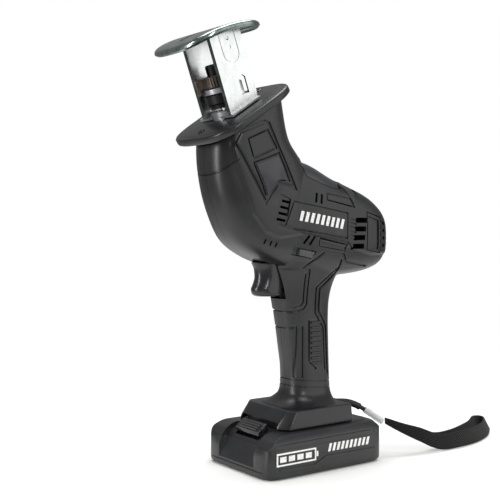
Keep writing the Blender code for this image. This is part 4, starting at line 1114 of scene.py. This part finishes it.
# ---------------------------------------------------------------------------------------------
# Wrist strap. A small anchor moulded on the foot, a braided cord through its eye, a clear vinyl
# sleeve over the join, and a loop of coarse black nylon webbing that lies on the table.
# ---------------------------------------------------------------------------------------------
anchor = rounded(block("strap_anchor_form", (35.5, -9, 42), (40.0, 1, 50)), 0.8, 3)
carve(anchor, "DIFFERENCE", rod("anchor_eye", 1.6, 30, 60, Matrix(), (38.0, -4.0), 24))
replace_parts(finished(anchor, nylon), "strap_anchor")
CORD_ROUTE = [(39.9, -4.3, 46.0), (44.0, -7.3, 46.4), (50.0, -11.5, 46.0), (56.0, -15.5, 43.6),
              (62.0, -19.5, 39.8)]
SLEEVE_ROUTE = [(62.4, -19.8, 39.5), (67.0, -22.8, 35.8), (76.0, -28.3, 28.6)]
CORD_RADIUS = 1.9
WEBBING_THICK = 1.5
WARP_SPACE, WEFT_SPACE = 2.4, 3.4
# The strap's middle run: X, Y, half the space between its layers, its width, lean in degrees, lift
STRAP_RUN = [
    (78.0, -29.6, 1.3, 5.5, 0.0, 26.4), (92.0, -37.5, 1.5, 9.0, 0.0, 17.5),
    (108.0, -44.0, 2.2, 12.5, 0.0, 9.0), (126.0, -47.5, 3.4, 14.0, 5.0, 1.2),
    (150.0, -47.5, 5.0, 14.0, 8.0, 0.6), (175.0, -42.0, 6.5, 14.0, 14.0, 0.6),
    (198.0, -33.0, 6.5, 13.5, 22.0, 1.0), (217.0, -21.0, 5.5, 13.0, 30.0, 2.0),
]
# The webbing's section: across its thickness from -1 to 1, and share of its width
WEBBING_EDGE = [(-1, 0.06), (-0.6, 0), (0.6, 0), (1, 0.06), (1, 0.35), (1, 0.65), (1, 0.94), (0.6, 1),
                (-0.6, 1), (-1, 0.94), (-1, 0.65), (-1, 0.35)]


def webbing_paint():
    """Coarse plain-woven nylon webbing: fat warp cords crossed by weft, slightly fuzzy."""
    made, tree, shader = new_material("woven_nylon_webbing", Roughness=0.75, Specular_IOR_Level=0.2,
                                      Sheen_Weight=0.06)
    place = add_node(tree, "ShaderNodeUVMap", uv_map="weave").outputs["UV"]
    parts = add_node(tree, "ShaderNodeSeparateXYZ", {0: place}).outputs
    waves = []
    for axis, space in (("Y", WARP_SPACE), ("X", WEFT_SPACE)):
        turn = add_node(tree, "ShaderNodeMath", {0: parts[axis], 1: 2 * math.pi / space},
                        operation="MULTIPLY").outputs[0]
        waves.append(add_node(tree, "ShaderNodeMath", {0: turn}, operation="SINE").outputs[0])
    cross = add_node(tree, "ShaderNodeMath", {0: waves[0], 1: waves[1]}, operation="MULTIPLY").outputs[0]
    local = add_node(tree, "ShaderNodeTexCoord").outputs["Object"]
    fuzz = add_node(tree, "ShaderNodeTexNoise", {"Vector": local, "Scale": 2600.0, "Detail": 4.0})
    loose = ramp(tree, fuzz.outputs["Fac"], -0.3, 0.3)
    raised = add_node(tree, "ShaderNodeMath", {0: cross, 1: loose}).outputs[0]
    tint = blend_colours(tree, ramp(tree, raised, 0.0, 1.0, -0.8, 0.9), linear("#060607"), linear("#1D1C1B"))
    tree.links.new(tint, shader.inputs["Base Color"])
    bump = add_node(tree, "ShaderNodeBump", {"Height": raised, "Strength": 0.9, "Distance": 0.6 * MM})
    tree.links.new(bump.outputs[0], shader.inputs["Normal"])
    return made


def cord_paint():
    """Braided nylon cord: strands that cross at a slant round it."""
    made, tree, shader = new_material("braided_nylon_cord", Roughness=0.6)
    local = add_node(tree, "ShaderNodeTexCoord").outputs["Object"]
    slants = []
    for turn in (0.7, -0.7):
        strand = add_node(tree, "ShaderNodeMapping", {"Vector": local, "Rotation": (turn, turn, 0.6)})
        slants.append(add_node(tree, "ShaderNodeTexWave", {"Vector": strand.outputs[0], "Scale": 190.0,
                                                           "Distortion": 0.6}).outputs[0])
    braid = add_node(tree, "ShaderNodeMath", {0: slants[0], 1: slants[1]}, operation="MULTIPLY").outputs[0]
    tint = blend_colours(tree, braid, linear("#0D0D0E"), linear("#2B2C2E"))
    tree.links.new(tint, shader.inputs["Base Color"])
    bump = add_node(tree, "ShaderNodeBump", {"Height": braid, "Strength": 0.7, "Distance": 0.3 * MM})
    tree.links.new(bump.outputs[0], shader.inputs["Normal"])
    return made


def vinyl_paint():
    """Clear flexible vinyl: glassy, a little cloudy, with fine scuffs."""
    made, tree, shader = new_material("clear_vinyl_tube", Alpha=0.55)
    local = add_node(tree, "ShaderNodeTexCoord").outputs["Object"]
    cloud = add_node(tree, "ShaderNodeTexNoise", {"Vector": local, "Scale": 380.0,
                                                  "Detail": 4.0}).outputs["Fac"]
    tint = blend_colours(tree, cloud, linear("#D9DBDC"), linear("#F4F5F6"))
    tree.links.new(tint, shader.inputs["Base Color"])
    tree.links.new(ramp(tree, cloud, 0.08, 0.3), shader.inputs["Roughness"])
    return made


def tube(name, route, inner, outer, sides=20):
    """A round tube, or a solid cord when inner is 0, along a route in mm."""
    points = [Vector(p) for p in bent(route, 4)]
    rings = []
    for k, here in enumerate(points):
        ahead = points[min(k + 1, len(points) - 1)] - points[max(k - 1, 0)]
        side = ahead.cross(Vector((0, 0, 1))).normalized()
        up = side.cross(ahead).normalized()
        rings.append([here + (side * math.cos(t) + up * math.sin(t)) * outer
                      for t in np.arange(sides) * 2 * math.pi / sides])
    item = loft(name, rings)
    if inner:
        longer = [tuple(points[0] * 2 - points[1])] + route + [tuple(points[-1] * 2 - points[-2])]
        carve(item, "DIFFERENCE", tube("bore", longer, 0, inner, sides))
    return item


sleeve = finished(tube("strap_sleeve_form", SLEEVE_ROUTE, 2.05, 3.0), vinyl_paint())
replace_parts(sleeve, "strap_sleeve")
braided = cord_paint()
wrap_line = bent(CORD_ROUTE, 2)[1:-1]
sewn = tube("strap_sewn_end", [tuple(p) for p in wrap_line], 1.95, 2.9)
finished(sewn, braided)

# The webbing runs out on one side of the middle run, round its far end and back on the other
rows = bent(STRAP_RUN, 6)
one, two = [], []
for k, row in enumerate(rows):
    ahead = Vector(rows[min(k + 1, len(rows) - 1)][:2]) - Vector(rows[max(k - 1, 0)][:2])
    across = Vector((-ahead.y, ahead.x, 0)).normalized() * row[2]
    middle = Vector((row[0], row[1], row[5]))
    one.append((middle - across, row[3], row[4]))
    two.append((middle + across, row[3], row[4]))
end = (one[-1][0] + two[-1][0]) / 2
arm = one[-1][0] - end
ahead = Vector((-arm.y, arm.x, 0))
turns = [math.pi * k / 12 for k in range(1, 12)]
path = one + [(end + arm * math.cos(a) + ahead * math.sin(a) * 1.4, *one[-1][1:]) for a in turns] + two[::-1]
rings, run = [], [0.0]
for k, (point, width, lean) in enumerate(path):
    ahead = path[min(k + 1, len(path) - 1)][0] - path[max(k - 1, 0)][0]
    across = Vector((-ahead.y, ahead.x, 0)).normalized() * WEBBING_THICK / 2
    tilt = math.radians(lean)
    up = Vector((0, 0, math.cos(tilt))) - Vector((0.3, -0.95, 0.0)) * math.sin(tilt)
    rings.append([point + across * a + up * (width * b) for a, b in WEBBING_EDGE])
    if k:
        run.append(run[-1] + (point - path[k - 1][0]).length)
webbing = loft("webbing_form", rings)
# The weave's map, in mm along the webbing and across it
weave = webbing.data.uv_layers.new(name="weave")
for loop in webbing.data.loops:
    level, side = divmod(loop.vertex_index, len(WEBBING_EDGE))
    weave.data[loop.index].uv = (run[level], WEBBING_EDGE[side][1] * path[level][1])
finished(webbing, webbing_paint(), sharp=60)
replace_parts(webbing, "wrist_strap")

# The cord runs from the anchor's eye through the sewn end and the sleeve
cord_line = bpy.data.curves.new("strap_cord_form", "CURVE")
cord_line.dimensions = "3D"
cord_line.bevel_depth = CORD_RADIUS * MM
cord_line.bevel_resolution = 5
cord_line.use_fill_caps = True
points = bent(CORD_ROUTE + SLEEVE_ROUTE[1:], 4)
spline = cord_line.splines.new("POLY")
spline.points.add(len(points) - 1)
for place, point in zip(spline.points, points):
    place.co = (*(Vector(point) * MM), 1.0)
cord_line.materials.append(braided)
cord = bpy.data.objects.new("strap_cord_form", cord_line)
bpy.context.scene.collection.objects.link(cord)
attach(cord, "housing")
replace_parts(cord, "strap_cord")
